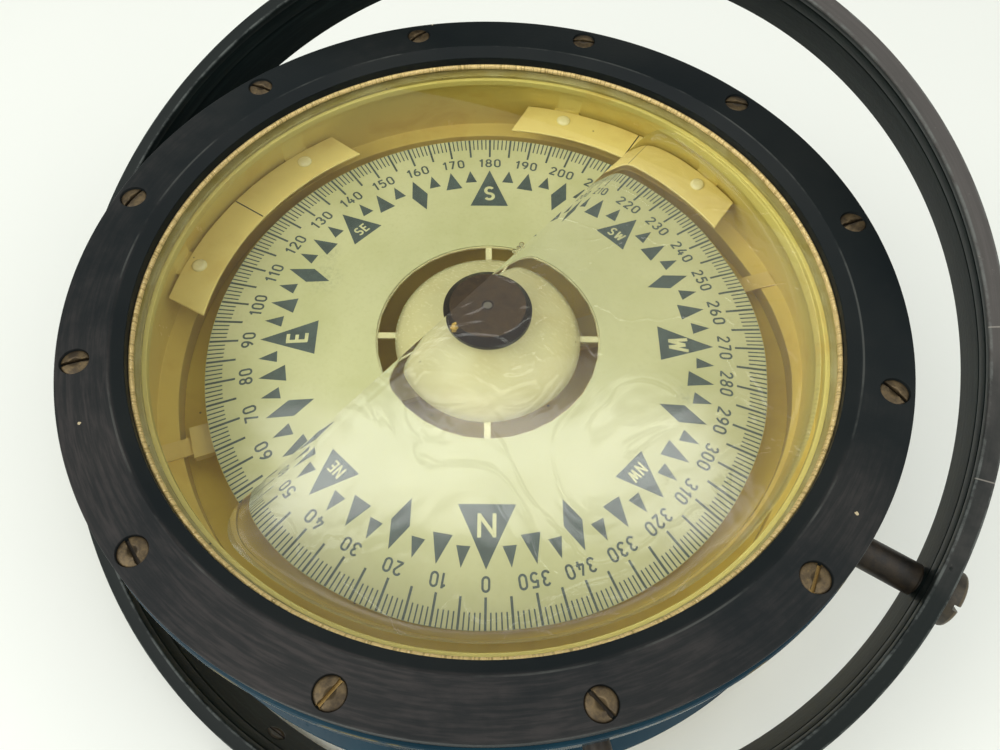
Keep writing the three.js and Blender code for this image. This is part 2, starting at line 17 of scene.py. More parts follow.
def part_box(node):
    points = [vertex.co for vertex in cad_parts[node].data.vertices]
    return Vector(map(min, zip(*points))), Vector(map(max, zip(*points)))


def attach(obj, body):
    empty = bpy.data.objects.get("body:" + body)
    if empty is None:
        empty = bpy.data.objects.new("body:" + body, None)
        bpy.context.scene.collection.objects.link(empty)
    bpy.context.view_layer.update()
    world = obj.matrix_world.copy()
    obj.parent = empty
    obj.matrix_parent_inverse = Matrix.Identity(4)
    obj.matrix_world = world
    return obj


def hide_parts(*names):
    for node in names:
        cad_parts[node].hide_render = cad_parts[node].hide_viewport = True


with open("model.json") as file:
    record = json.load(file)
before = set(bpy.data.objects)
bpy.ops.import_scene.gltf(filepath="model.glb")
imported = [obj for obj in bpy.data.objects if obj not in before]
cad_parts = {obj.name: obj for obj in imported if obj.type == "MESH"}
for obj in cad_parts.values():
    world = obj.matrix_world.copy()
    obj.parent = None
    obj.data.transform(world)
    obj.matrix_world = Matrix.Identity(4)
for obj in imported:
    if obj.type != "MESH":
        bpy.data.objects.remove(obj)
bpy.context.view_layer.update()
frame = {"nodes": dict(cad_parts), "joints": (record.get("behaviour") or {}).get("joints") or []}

MM = 0.001
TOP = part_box("bezel_ring")[1].z / MM  # height of the bezel's top face
AXIS_HEIGHT = frame["joints"][0]["pos_m"][2] / MM  # height of the pivot axis
RING_TILT = math.radians(25.8)
CARD_NORTH_DEG = -58  # direction of the card's north at rest
SEED = 7
SHARP_DEG = 35.0  # edges sharper than this stay hard

# ---- Mesh helpers. A mesh is a list of vertices and a list of faces. ----


def mesh_object(name, vertices, faces, sharp_deg=SHARP_DEG):
    """A smooth-shaded mesh object from points in millimetres, with edges sharper than sharp_deg kept hard."""
    mesh = bpy.data.meshes.new(name)
    mesh.from_pydata([Vector(v) * MM for v in vertices], [], faces)
    bm = bmesh.new()
    bm.from_mesh(mesh)
    bmesh.ops.recalc_face_normals(bm, faces=bm.faces)
    bm.to_mesh(mesh)
    bm.free()
    return finished(name, mesh, sharp_deg)


def finished(name, mesh, sharp_deg=SHARP_DEG):
    mesh.polygons.foreach_set("use_smooth", [True] * len(mesh.polygons))
    mesh.set_sharp_from_angle(angle=math.radians(sharp_deg))
    made = bpy.data.objects.new(name, mesh)
    bpy.context.scene.collection.objects.link(made)
    made.modifiers.new("flat_faces_stay_flat", "WEIGHTED_NORMAL").keep_sharp = True
    return made


def rounded(outline, radius, closed=True, steps=3):
    """The outline with each corner off the axis turned into an arc of about this radius."""
    made = []
    count = len(outline)
    for i, (r, z) in enumerate(outline):
        on_end = not closed and i in (0, count - 1)
        if on_end or r == 0:
            made.append((r, z))
            continue
        here = np.array([r, z], float)
        before = np.array(outline[i - 1], float) - here
        after = np.array(outline[(i + 1) % count], float) - here
        room = min(np.linalg.norm(before), np.linalg.norm(after)) * 0.45
        before /= np.linalg.norm(before)
        after /= np.linalg.norm(after)
        turn = math.acos(max(-1.0, min(1.0, float(before @ after))))
        if turn > math.radians(155):
            made.append((r, z))
            continue
        reach = min(radius / math.tan(turn / 2), room)
        start, end = here + before * reach, here + after * reach
        for k in range(steps + 1):
            t = k / steps
            point = (1 - t) ** 2 * start + 2 * t * (1 - t) * here + t * t * end
            made.append((float(point[0]), float(point[1])))
    return made


def lathe(outline, sides):
    """An outline of (radius, height) turned about Z. Points on the axis become one vertex."""
    vertices, rows = [], []
    for r, z in outline:
        if r == 0:
            rows.append([len(vertices)] * sides)
            vertices.append((0, 0, z))
            continue
        rows.append(range(len(vertices), len(vertices) + sides))
        for k in range(sides):
            angle = 2 * math.pi * k / sides
            vertices.append((r * math.cos(angle), r * math.sin(angle), z))
    faces = []
    closes = not (outline[0][0] == 0 and outline[-1][0] == 0)
    for i in range(len(outline) if closes else len(outline) - 1):
        low, high = rows[i], rows[(i + 1) % len(outline)]
        for k in range(sides):
            corners = [low[k], low[(k + 1) % sides], high[(k + 1) % sides], high[k]]
            face = list(dict.fromkeys(corners))
            if len(face) > 2:
                faces.append(face)
    return vertices, faces


def at_depth(outline):
    return [(r, TOP - depth) for r, depth in outline]


def moved(mesh, matrix):
    vertices, faces = mesh
    return [tuple(matrix @ Vector(v)) for v in vertices], faces


def merged(meshes):
    vertices, faces = [], []
    for more_vertices, more_faces in meshes:
        start = len(vertices)
        vertices += more_vertices
        faces += [[start + i for i in face] for face in more_faces]
    return vertices, faces


def box_mesh(x, y, z, matrix):
    corners = [(sx * x / 2, sy * y / 2, sz * z / 2) for sx in (-1, 1) for sy in (-1, 1) for sz in (-1, 1)]
    faces = [[0, 1, 3, 2], [4, 6, 7, 5], [0, 4, 5, 1], [2, 3, 7, 6], [0, 2, 6, 4], [1, 5, 7, 3]]
    return moved((corners, faces), matrix)


def prism(outline, low, high):
    """A flat shape given by points anticlockwise in the plane, between two heights."""
    count = len(outline)
    vertices = [(x, y, low) for x, y in outline] + [(x, y, high) for x, y in outline]
    faces = [list(range(count))[::-1], list(range(count, 2 * count))]
    faces += [[i, (i + 1) % count, count + (i + 1) % count, count + i] for i in range(count)]
    return vertices, faces


def combined(name, first, second, operation):
    """The boolean of two closed meshes, as a new finished object."""
    blank = mesh_object("blank", *first)
    tool = mesh_object("tool", *second)
    blank.modifiers.clear()
    step = blank.modifiers.new("boolean", "BOOLEAN")
    step.operation = operation
    step.solver = "EXACT"
    step.object = tool
    bpy.context.view_layer.update()
    depsgraph = bpy.context.evaluated_depsgraph_get()
    mesh = bpy.data.meshes.new_from_object(blank.evaluated_get(depsgraph))
    mesh.name = name
    mesh.materials.clear()
    for o in (blank, tool):
        bpy.data.objects.remove(o)
    return finished(name, mesh)


def cut(name, first, second):
    return combined(name, first, second, "DIFFERENCE")


def around_z(angle):
    return Matrix.Rotation(angle, 4, "Z")


def shifted(x, y, z):
    return Matrix.Translation((x, y, z))


def outward(angle, height):
    """Lays a turning built up +Z out along the direction at this angle, its axis at this height."""
    return shifted(0, 0, height) @ around_z(angle) @ Matrix.Rotation(math.pi / 2, 4, "Y")


RING_FRAME = shifted(0, 0, AXIS_HEIGHT) @ Matrix.Rotation(RING_TILT, 4, "X")


def polar(radius, heading_deg, height=0.0):
    heading = math.radians(heading_deg)
    return (radius * math.cos(heading), radius * math.sin(heading), height)


def evenly(count, first_deg=0.0):
    return [math.radians(first_deg + 360.0 * k / count) for k in range(count)]


def numbered(name, index):
    return f"{name}_{index + 1:02d}"


# ---- Materials ----

LOOKS = {}  # the finished materials, by name


def shade(color):
    """A colour picked in sRGB, as linear numbers. Linear numbers pass through."""
    if not isinstance(color, str):
        return color
    channels = [int(color[i : i + 2], 16) / 255 for i in (0, 2, 4)]
    return tuple(c / 12.92 if c <= 0.04045 else ((c + 0.055) / 1.055) ** 2.4 for c in channels)


class Signal:
    """A node's output. Arithmetic on it adds nodes to its tree."""

    def __init__(self, nodes, socket):
        self.nodes = nodes
        self.socket = socket

    def __mul__(self, other):
        return self.nodes.math("MULTIPLY", self, other)

    def __add__(self, other):
        return self.nodes.math("ADD", self, other)

    def __sub__(self, other):
        return self.nodes.math("SUBTRACT", self, other)

    def __abs__(self):
        return self.nodes.math("ABSOLUTE", self)

    def mapped(self, kind, *ends):
        return self.nodes.add("ShaderNodeMapRange", {"interpolation_type": kind}, (self, *ends), "Result")

    def step(self, low, high):
        """0 below low, 1 above high, smooth in between. low may be the larger, which turns it round."""
        ends = (high, low, 1.0, 0.0) if low > high else (low, high, 0.0, 1.0)
        return self.mapped("SMOOTHSTEP", *ends)

    def spread(self, low, high):
        """A 0 to 1 value spread evenly over low to high."""
        return self.mapped("LINEAR", 0.0, 1.0, low, high)

    def parts(self):
        """Its X, Y and Z."""
        split = self.nodes.add("ShaderNodeSeparateXYZ", values=(self,)).socket.node
        return [Signal(self.nodes, socket) for socket in split.outputs]


class Nodes:
    """A node tree being written."""

    def __init__(self, tree):
        self.tree = tree

    def put(self, value, socket):
        if isinstance(value, Signal):
            self.tree.links.new(value.socket, socket)
        elif isinstance(value, tuple) and len(value) == 3 and socket.type == "RGBA":
            socket.default_value = (*value, 1.0)
        else:
            socket.default_value = value

    def add(self, kind, settings=None, values=(), out=0, **inputs):
        """Adds a node and gives one of its outputs back. values go to inputs by number, the rest by name."""
        made = self.tree.nodes.new(kind)
        for key, value in (settings or {}).items():
            setattr(made, key, value)
        for key, value in (values if isinstance(values, dict) else dict(enumerate(values))).items():
            self.put(value, made.inputs[key])
        for key, value in inputs.items():
            self.put(value, made.inputs[key.replace("_", " ")])
        return Signal(self, made.outputs[out])

    def math(self, operation, *values):
        return self.add("ShaderNodeMath", {"operation": operation}, values)

    def vector(self, operation, *values, out="Vector", **inputs):
        return self.add("ShaderNodeVectorMath", {"operation": operation}, values, out, **inputs)

    def most(self, first, *others):
        for other in others:
            first = self.math("MAXIMUM", first, other)
        return first


class Look(Nodes):
    """A material's nodes. Lengths are millimetres. paint() lays a further colour over the ones before it."""

    def __init__(self, name):
        self.material = LOOKS[name] = bpy.data.materials.new(name)
        self.material.use_nodes = True
        super().__init__(self.material.node_tree)
        self.tree.nodes.clear()
        self.place = self.vector("SCALE", self.add("ShaderNodeTexCoord", out="Object"), Scale=1 / MM)

    def lean(self):
        """Goes over to the gimbal ring's own frame: level with the ring, its centre on the pivot axis."""
        raised = self.vector("SUBTRACT", self.place, (0.0, 0.0, AXIS_HEIGHT))
        settings = {"rotation_type": "X_AXIS"}
        self.place = self.add("ShaderNodeVectorRotate", settings, Vector=raised, Angle=-RING_TILT)

    def noise(self, scale, detail=3.0, roughness=0.55, distortion=0.0, place=None):
        numbers = {"Scale": scale, "Detail": detail, "Roughness": roughness, "Distortion": distortion}
        return self.add("ShaderNodeTexNoise", Vector=place or self.place, **numbers)

    def cells(self, scale, out="Distance"):
        return self.add("ShaderNodeTexVoronoi", Vector=self.place, Scale=scale, out=out)

    def stretched(self, x, y, z):
        return self.vector("MULTIPLY", self.place, (x, y, z))

    def distance(self, point):
        return self.vector("DISTANCE", self.place, point, out="Value")

    def along(self, heading_deg):
        return self.vector("DOT_PRODUCT", self.place, polar(1.0, heading_deg), out="Value")

    def radius(self):
        return self.vector("LENGTH", self.stretched(1.0, 1.0, 0.0), out="Value")

    def turning_marks(self, across, along, detail=4.0):
        """Noise drawn out along circles about the Z axis, as lathe marks and rubbing leave it."""
        x, y, z = self.place.parts()
        stretched = self.radius() * across, x * along, y * along + z * across
        place = self.add("ShaderNodeCombineXYZ", values=stretched)
        return self.noise(1.0, detail, 0.6, place=place)

    def attribute(self, name):
        return self.add("ShaderNodeAttribute", {"attribute_name": name}, out="Fac")

    def bump(self, height):
        return self.add("ShaderNodeBump", Height=height, Distance=MM)

    def mix(self, share, a, b):
        return self.add("ShaderNodeMix", {"data_type": "RGBA"}, {0: share, 6: shade(a), 7: shade(b)}, 2)

    def ground(self, share, a, b):
        self.color = self.mix(share, a, b)

    def paint(self, share, color):
        self.color = self.mix(share, self.color, color)

    def finish(self, roughness, height=None, metallic=0.0, normal=None, **numbers):
        """Ends the material with a Principled shader in the painted colour."""
        if height is not None:
            normal = self.bump(height)
        if normal is not None:
            numbers["Normal"] = normal
        inputs = {"Base_Color": self.color, "Roughness": roughness, "Metallic": metallic, **numbers}
        self.show(self.add("ShaderNodeBsdfPrincipled", **inputs))

    def show(self, shader):
        self.put(shader, self.tree.nodes.new("ShaderNodeOutputMaterial").inputs["Surface"])


BEZEL_CHIPS = ((95.6, 234.9, 0.42), (95.3, 355.3, 0.45), (99.85, 132.2, 0.3))  # radius, heading, size


def black_enamel_look():
    """Satin black enamel on the bezel: rubbed in circles and brown where it is thin, the brown made heavier on
    the near (-Y) side as a painted reflection, with chips and with edges painted light, partly edge wear and
    partly painted highlight.
    """
    look = Look("black_enamel")
    r = look.radius()
    _, y, z = look.place.parts()
    fine = look.turning_marks(3.0, 0.05)
    broad = look.noise(0.03)
    # The y term makes the brown rubbing grow towards -Y, the side nearest the view. The rubbing is wear; its
    # growth towards the near side is a painted reflection of the bright area above that side.
    worn = (broad + look.noise(0.4).spread(-1.0, 1.0) * 0.12 + y * -0.0035).step(0.35, 0.95)
    look.ground(broad.step(0.3, 0.7), "12181a", "1b1f1f")
    rubbing = fine.spread(0.0, 0.6) + look.turning_marks(1.1, 0.09, 5.0).step(0.4, 0.65) * 0.5
    on_top = z.step(TOP - 0.5, TOP - 0.1)
    look.paint(worn * rubbing * on_top, "3d3938")
    smudge = look.noise(0.16, 5.0, 0.65).step(0.62, 0.8)
    look.paint(smudge * 0.2, "2b2a28")
    # The light grey lines along the top's inner and outer edges are partly edge wear and partly a painted
    # highlight of the sharp edges catching the light, broken up with noise.
    inner_edge = abs(r - 88.75).step(0.3, 0.12) * on_top
    outer_edge = r.step(100.08, 100.22) * z.step(TOP - 1.0, TOP - 0.25) * 0.8
    edge_break = look.noise(0.045, 6.0, 0.6).step(0.42, 0.62)
    look.paint(look.most(inner_edge, outer_edge) * edge_break * 0.3, "6d6f6a")
    ragged = look.noise(2.5).spread(-1.0, 1.0) * 0.3
    chips = []
    for radius, heading, size in BEZEL_CHIPS:
        away = look.distance(polar(radius, heading, TOP)) + ragged
        chips.append(away.step(size, size * 0.7))
    chips = look.most(*chips)
    look.paint(chips, "b7a888")
    roughness = fine.spread(0.34, 0.46) + worn * 0.08 + smudge * 0.08
    height = fine * 0.012 + look.noise(1.4, 4.0) * 0.02 + chips * -0.05
    look.finish(roughness, height, Specular_IOR_Level=0.14)


WORN_AND_SHEEN_SIDE_DEG = 58  # where the gimbal ring's top face is rubbed most and where a painted reflection lightens it most
SCRIBED_LINES = ((29.0, 0.12), (12.5, 0.1))  # heading and half width


def ring_enamel_look():
    """Dark green-black enamel on the gimbal ring, its upper edge rubbed to grey-brown, more towards one side,
    where the grey also stands for a reflection of the window as painted reflection, and its edges painted light
    as highlights.
    """
    look = Look("ring_enamel")
    look.lean()
    x, _, z = look.place.parts()
    r = look.radius()
    fine = look.turning_marks(1.6, 0.04)
    broad = look.noise(0.02)
    look.ground(broad, "0e1616", "161d1c")
    top_face = z.step(11.1, 11.4)
    # The rubbing on the top face grows towards one side. The grey there is partly real rubbing and partly a
    # painted reflection of the window.
    wear_and_sheen = (broad * 0.6 + look.along(WORN_AND_SHEEN_SIDE_DEG) * 0.005 + look.noise(0.12, 4.0) * 0.3).step(0.7, 1.05)
    rubbed = top_face * (wear_and_sheen * 0.94 + 0.06)
    look.paint(rubbed * fine.spread(0.5, 1.0), "5a5653")
    look.paint(look.noise(0.5, 6.0, 0.75).step(0.62, 0.72) * rubbed * 0.5, "87837c")
    # The light lines along the top face's inner and outer edges are painted highlights of the sharp edges
    # catching the light, broken up with noise like edge wear.
    inner_edge = abs(r - 118.95).step(0.45, 0.2) * z.step(10.9, 11.25)
    outer_edge = r.step(122.2, 122.45) * z.step(10.9, 11.3)
    edge_break = look.noise(0.15, 5.0, 0.7).step(0.4, 0.62)
    look.paint(look.most(inner_edge, outer_edge) * edge_break * 0.35, "7a807c")
    lines = [abs(look.along(heading + 90)).step(width + 0.1, width) for heading, width in SCRIBED_LINES]
    scribe = look.most(*lines) * x.step(10.0, 20.0) * top_face
    look.paint(scribe * 0.45, "a59f95")
    streaks = look.noise(1.0, 4.0, place=look.stretched(0.05, 0.05, 0.9)).step(0.45, 0.75)
    look.paint(r.step(118.9, 118.7) * streaks * 0.5, "25302d")
    height = fine * 0.012 + look.noise(0.9, 4.0) * 0.03 + scribe * -0.05
    look.finish(fine.spread(0.3, 0.42) + rubbed * 0.12, height, Specular_IOR_Level=0.14)


def patina_look(name, dark, mid, bright, metal=0.85, roughness=0.45, worn_share=0.5):
    """Bronze or brass under a brown patina: cloudy colour, bright metal on rubbed spots, dirt in the slot."""
    look = Look(name)
    cloud = look.noise(0.35, 5.0, 0.65)
    grain = look.noise(2.2, 5.0, 0.7)
    look.ground(cloud.step(0.32, 0.66), dark, mid)
    rubbed = grain.step(0.55, 0.75) * cloud.step(0.35, 0.65) * worn_share
    shine = look.most(rubbed, look.attribute("worn") * grain.spread(0.3, 1.0))
    look.paint(shine, bright)
    look.paint(look.attribute("dirt") * grain.spread(0.75, 1.0), "17120d")
    rough = cloud.spread(roughness - 0.08, roughness + 0.12) + shine * -0.12
    look.finish(rough, grain * 0.02 + cloud * 0.05, shine * 0.3 + (metal - 0.3))


def packing_look():
    """Gold-coloured braided packing: fine cross ridges, bright metallic flecks, and painted shade that darkens
    the sunken strands in the gaps.
    """
    look = Look("packing")
    sparkle = look.cells(3.4, "Color")
    red, green, _ = sparkle.parts()
    # The colour follows how far each strand stands out: the sunken strands are darker, a painted shade in the
    # gaps between them.
    look.ground(look.attribute("ridge").step(0.0, 0.5), "b0965a", "e2c684")
    look.paint(red.step(0.62, 0.9) * look.cells(2.6).step(0.45, 0.2), "fbe6b4")
    tilt = look.vector("SCALE", look.vector("SUBTRACT", sparkle, (0.5, 0.5, 0.5)), Scale=0.7)
    normal = look.vector("ADD", look.add("ShaderNodeNewGeometry", out="Normal"), tilt)
    look.finish(green.spread(0.28, 0.6), metallic=0.35, normal=look.vector("NORMALIZE", normal))


def gasket_look():
    """Grey-green rubber with pale bloom and small dark specks."""
    look = Look("gasket_rubber")
    look.ground(look.noise(0.12, 4.0).step(0.35, 0.7), "a08f4c", "b0a36c")
    look.paint(look.cells(0.16).step(0.07, 0.04), "3a331f")
    fine = look.noise(3.0, 4.0)
    look.finish(fine.spread(0.5, 0.7), fine * 0.02)


def bowl_paint_look():
    """Glossy teal outside; yellowed cream inside, deeper in colour towards the bottom of the bowl."""
    look = Look("bowl_paint")
    r = look.radius()
    z = look.place.parts()[2]
    cloud = look.noise(0.03)
    look.ground(cloud.step(0.3, 0.7), "0b2c3a", "103a4a")
    rubs = look.noise(0.2, 6.0, 0.72, place=look.stretched(1.0, 1.0, 0.3)).step(0.66, 0.74)
    look.paint(rubs * 0.45, "123642")
    worn_spots = look.noise(0.08, 5.0, 0.6).step(0.5, 0.6)
    look.paint(r.step(100.9, 101.1) * z.step(TOP - 7.1, TOP - 6.7) * worn_spots * 0.8, "6f6338")
    outside = look.color
    look.ground(z.step(TOP - 14, TOP - 46), "d2c170", "dec468")
    look.paint(look.noise(0.05, 4.0, 0.6, 0.4).step(0.5, 0.75) * 0.5, "cba54c")
    look.paint(r.step(92.3, 92.6), outside)
    height = look.noise(0.7) * 0.02 + rubs * -0.03
    look.finish(cloud.spread(0.2, 0.3) + rubs * 0.25, height, Specular_IOR_Level=0.25)


def cream_paint_look(name, base, stain, glow=0.3, stain_share=0.45, roughness=0.3):
    """Old cream enamel: soft brush marks, brownish stains, a few dark specks."""
    look = Look(name)
    look.ground(look.noise(0.07, 4.0, 0.6, 0.3).step(0.45, 0.75) * stain_share, base, stain)
    look.paint(look.cells(0.11).step(0.045, 0.025) * 0.8, "5a4a22")
    brush = look.noise(1.0, 4.0, place=look.stretched(0.3, 1.6, 1.0))
    rough = brush.spread(roughness - 0.06, roughness + 0.08)
    look.finish(rough, brush * 0.02, Coat_Weight=glow, Coat_Roughness=0.15)


CARD_SCUFFS = ((113.0, 49.5, 7.0), (122.0, 53.0, 4.5), (287.0, 53.5, 4.0))  # heading on the card, radius, size


def card_face_look():
    """The printed card's ground: pale yellow-green enamel, faintly mottled, scuffed near 100 to 125 degrees."""
    look = Look("card_face")
    grain = look.noise(0.9, 5.0, 0.6)
    look.ground(look.noise(0.035, 4.0, 0.6).step(0.3, 0.75), "c3c094", "b6b483")
    look.paint(grain.step(0.45, 0.8) * 0.25, "a9a573")
    broken = look.noise(0.8, 6.0, 0.75, 0.5).step(0.42, 0.66)
    for heading, radius, size in CARD_SCUFFS:
        near = look.distance(polar(radius, CARD_NORTH_DEG - heading, TOP - 33.0)).step(size, size * 0.2)
        look.paint(near * broken * 0.55, "8f8f70")
    look.paint(look.cells(0.07).step(0.03, 0.018) * 0.8, "57502f")
    look.finish(grain.spread(0.38, 0.5), grain * 0.015)


def print_look(name, dark, light):
    """Screen-printed ink, uneven in tone."""
    look = Look(name)
    cloud = look.noise(0.25, 5.0, 0.65)
    look.ground(cloud.step(0.3, 0.7), dark, light)
    look.paint(look.cells(0.9).step(0.06, 0.03) * 0.4, "9a9a78")
    look.finish(cloud.spread(0.4, 0.6))


def cap_look():
    """Brown moulded cap: scratched satin top, near-black glossy rim, a chip that shows gold."""
    look = Look("cap_brown")
    r = look.radius()
    cloud = look.noise(0.5, 5.0, 0.65)
    scratches = look.noise(1.0, 4.0, 0.6, 0.8, look.stretched(0.7, 3.0, 1.0)).step(0.6, 0.7)
    look.ground(cloud.step(0.3, 0.7), "2f210e", "3d2c15")
    look.paint(scratches * 0.5, "604c30")
    rim = r.step(9.45, 9.65)
    look.paint(rim, "1a110a")
    look.paint(r.step(1.15, 1.0), "5c564a")
    look.paint(r.step(1.75, 1.5) * r.step(0.95, 1.1) * 0.7, "2c221d")
    ragged = look.noise(1.3, 4.0, 0.7).spread(-1.0, 1.0) * 2.2
    chip = (look.distance(polar(10.3, -112, TOP - 9.9)) + ragged).step(1.0, 0.85)
    look.paint(chip, "dcb65a")
    height = scratches * -0.02 + cloud * 0.02 + chip * -0.06
    look.finish(rim.spread(1.0, 0.0) * 0.25 + 0.22, height, chip * 0.6, Specular_IOR_Level=0.12)


def cast_iron_look():
    """Grey-painted cast iron, coarse and scuffed to bare metal on the lower edge."""
    look = Look("ballast_iron")
    coarse = look.noise(0.9, 6.0, 0.7)
    look.ground(coarse.step(0.35, 0.7), "2b2f31", "3d4142")
    bare = look.place.parts()[2].step(2.6, 0.6) * coarse.step(0.45, 0.6)
    look.paint(bare, "77756f")
    look.finish(coarse.spread(0.5, 0.7), coarse * 0.12, bare * 0.6)


def metal_look(name, base, dull, roughness=0.35):
    """Bare metal with lathe marks and dull spots."""
    look = Look(name)
    fine = look.turning_marks(5.0, 0.3)
    spots = look.noise(0.6, 5.0, 0.7).step(0.5, 0.7)
    look.ground(spots, base, dull)
    look.finish(fine.spread(roughness - 0.08, roughness + 0.08) + spots * 0.15, fine * 0.01, 0.95)


def clear_look(name, ior, tint, mirrors=True, haze=0.0, wet=False):
    """A clear material that lets light from the lamps through.

    Where it touches another clear one it doesn't mirror. Wet glass carries a thin film with drawn-out threads,
    which shows in what it mirrors.
    """
    look = Look(name)
    if mirrors and not wet:
        streak = look.noise(1.0, 4.0, 0.6, 1.2, look.stretched(0.02, 0.05, 0.02)).step(0.45, 0.8)
        rough = streak * haze + look.cells(0.35).step(0.05, 0.02) * (haze * 4)
        inputs = {"Base_Color": tint, "Roughness": rough, "IOR": ior, "Transmission_Weight": 1.0}
        surface = look.add("ShaderNodeBsdfPrincipled", **inputs)
    else:
        surface = look.add("ShaderNodeBsdfRefraction", Color=tint, Roughness=0.0, IOR=ior)
    if wet:
        slow = look.noise(0.035, 2.0, 0.5, 1.5)
        film = abs(slow - 0.5).step(0.03, 0.0) * 0.06 + slow * 0.5
        mirrored = look.add("ShaderNodeBsdfAnisotropic", Roughness=0.02, Normal=look.bump(film))
        share = look.add("ShaderNodeFresnel", IOR=ior)
        surface = look.add("ShaderNodeMixShader", values=(share, surface, mirrored))
    lamps = look.add("ShaderNodeBsdfTransparent", Color=(0.96, 0.97, 0.94))
    is_shadow = look.add("ShaderNodeLightPath", out="Is Shadow Ray")
    look.show(look.add("ShaderNodeMixShader", values=(is_shadow, surface, lamps)))


black_enamel_look()
ring_enamel_look()
patina_look("bronze", "3a3022", "66563c", "a5874c")
patina_look("brown_bronze", "17130e", "33291b", "75603a", 0.4, 0.45, 0.3)
patina_look("dull_bronze", "262119", "423a2b", "5c5038", 0.35, 0.5, 0.2)
packing_look()
gasket_look()
bowl_paint_look()
cream_paint_look("cream_paint", "e6d080", "d0b05c")
cream_paint_look("deep_paint", "e8ca50", "cfa83e")
cream_paint_look("bridge_paint", "dcc272", "c2a658")
# A lighter copy of the cream paint for the rivet heads: the added lightness is a painted highlight of their
# glossy domes.
cream_paint_look("rivet_highlight_paint", "efe4b0", "d8c88c", 0.4, 0.3, 0.25)
cream_paint_look("float_paint", "cfc798", "b8a468", 0.4, 0.3, 0.25)
card_face_look()
print_look("ink", "36423f", "465250")
print_look("pale_ink", "cfcb9c", "b9b588")
print_look("line_ink", "2b261a", "3a3324")
cap_look()
metal_look("brass", "b8924c", "6d5428")
metal_look("steel", "9a9fa2", "5c5f60")
cast_iron_look()

GLASS_IOR, LIQUID_IOR = 1.52, 1.36
GLASS_TINT, LIQUID_TINT = (0.985, 1.0, 0.985), (1.0, 1.0, 0.96)
clear_look("clear_glass", GLASS_IOR, GLASS_TINT, haze=0.02)
clear_look("wet_glass", GLASS_IOR, GLASS_TINT, wet=True)
clear_look("glass_on_liquid", GLASS_IOR, GLASS_TINT, mirrors=False)
clear_look("liquid", LIQUID_IOR, LIQUID_TINT)
clear_look("liquid_on_glass", LIQUID_IOR, LIQUID_TINT, mirrors=False)
clear_look("air", 1 / LIQUID_IOR, (1.0, 1.0, 1.0))

# ---- Pieces ----

FINE_SIDES = 288


def dress(piece, look, body, node=None, slot=None):
    """Gives a piece its material and its body, and hides the CAD node that it stands for."""
    piece.data.materials.clear()
    piece.data.materials.append(LOOKS[look])
    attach(piece, body)
    if node:
        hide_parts(node)


def add_piece(name, mesh, *dressing, sharp_deg=SHARP_DEG):
    dress(mesh_object(name, *mesh, sharp_deg), *dressing)


def transform(piece, matrix):
    """Moves a piece's mesh by a matrix that is in millimetres."""
    piece.data.transform(Matrix.Scale(MM, 4) @ matrix @ Matrix.Scale(1 / MM, 4))


def add_slotted(name, blank, slot, marks, matrix, *dressing):
    """A turning with a screwdriver slot. marks are tests for its attributes, by name."""
    made = cut(name, blank, slot)
    for attribute, test in marks.items():
        set_values(made, attribute, [float(test(v.co / MM)) for v in made.data.vertices])
    transform(made, matrix)
    dress(made, *dressing)


def turned(outline, sides=FINE_SIDES, radius=0.2):
    """A turning about the upright axis, its outline in radius and depth, its corners rounded a little."""
    return lathe(at_depth(rounded(outline, radius)), sides)


def set_values(piece, attribute, values):
    layer = piece.data.attributes.new(attribute, "FLOAT", "POINT")
    layer.data.foreach_set("value", values)


# Bezel, with its twelve countersunk screws.

SCREW_CIRCLE, SCREW_HEAD, SCREW_SUNK = 95.9, 3.25, 0.15
SCREW_PLACES = evenly(12, 15)
SLOT_TURNS_DEG = [160, 53, 20, 25, 76, 10, 94, 49, 158, 82, 165, 97]
BRIGHT_SLOTS = (9, 11)


def build_bezel():
    outline = [(92.4, 6.2), (100.3, 6.2), (100.3, 0), (88.8, 0), (85.6, 1.65), (85.6, 4.3), (92.4, 4.3)]
    ring = turned(outline, radius=0.3)
    wide, narrow = SCREW_HEAD + 0.14, SCREW_HEAD + 0.05
    sink = [(0, -1), (wide, -1), (wide, 0.02), (narrow, 0.15), (narrow, 0.65), (1.8, 2.45), (1.8, 8), (0, 8)]
    cone = lathe(at_depth(sink), 48)
    tools = merged(moved(cone, around_z(a) @ shifted(SCREW_CIRCLE, 0, 0)) for a in SCREW_PLACES)
    dress(cut("bezel", ring, tools), "black_enamel", "bowl", "bezel_ring")


def build_bezel_screws():
    outline = [(0, 0), (1.5, -0.06), (2.6, -0.18), (SCREW_HEAD - 0.25, -0.33), (SCREW_HEAD, -0.5)]
    outline += [(SCREW_HEAD, -0.62), (1.6, -2.2), (1.6, -11), (0, -11)]
    blank = lathe(outline, 48)
    slot = box_mesh(3 * SCREW_HEAD, 0.75, 0.9, shifted(0, 0, -0.45))
    for i, (heading, turn_deg) in enumerate(zip(SCREW_PLACES, SLOT_TURNS_DEG)):

        def grimy(p, dark_slot=i not in BRIGHT_SLOTS):
            in_slot = -1.2 < p.z < -0.55 and abs(p.y) < 0.5
            return math.hypot(p.x, p.y) > SCREW_HEAD - 0.05 or (dark_slot and in_slot)

        def bare(p, bright_slot=i in BRIGHT_SLOTS):
            return bright_slot and -1.2 < p.z < -0.3 and abs(p.y) < 0.5

        x, y = SCREW_CIRCLE * math.cos(heading), SCREW_CIRCLE * math.sin(heading)
        whole = shifted(x, y, TOP - SCREW_SUNK) @ around_z(math.radians(turn_deg))
        names = numbered("bezel_screw_fine", i), numbered("bezel_screw", i)
        add_slotted(names[0], blank, slot, {"dirt": grimy, "worn": bare}, whole, "bronze", "bowl", names[1])


# Packing between bezel lip and glass: a crinkled bead.

PACKING_SIDES, PACKING_STRIDE, BEAD_POINTS = 2160, 9, 6


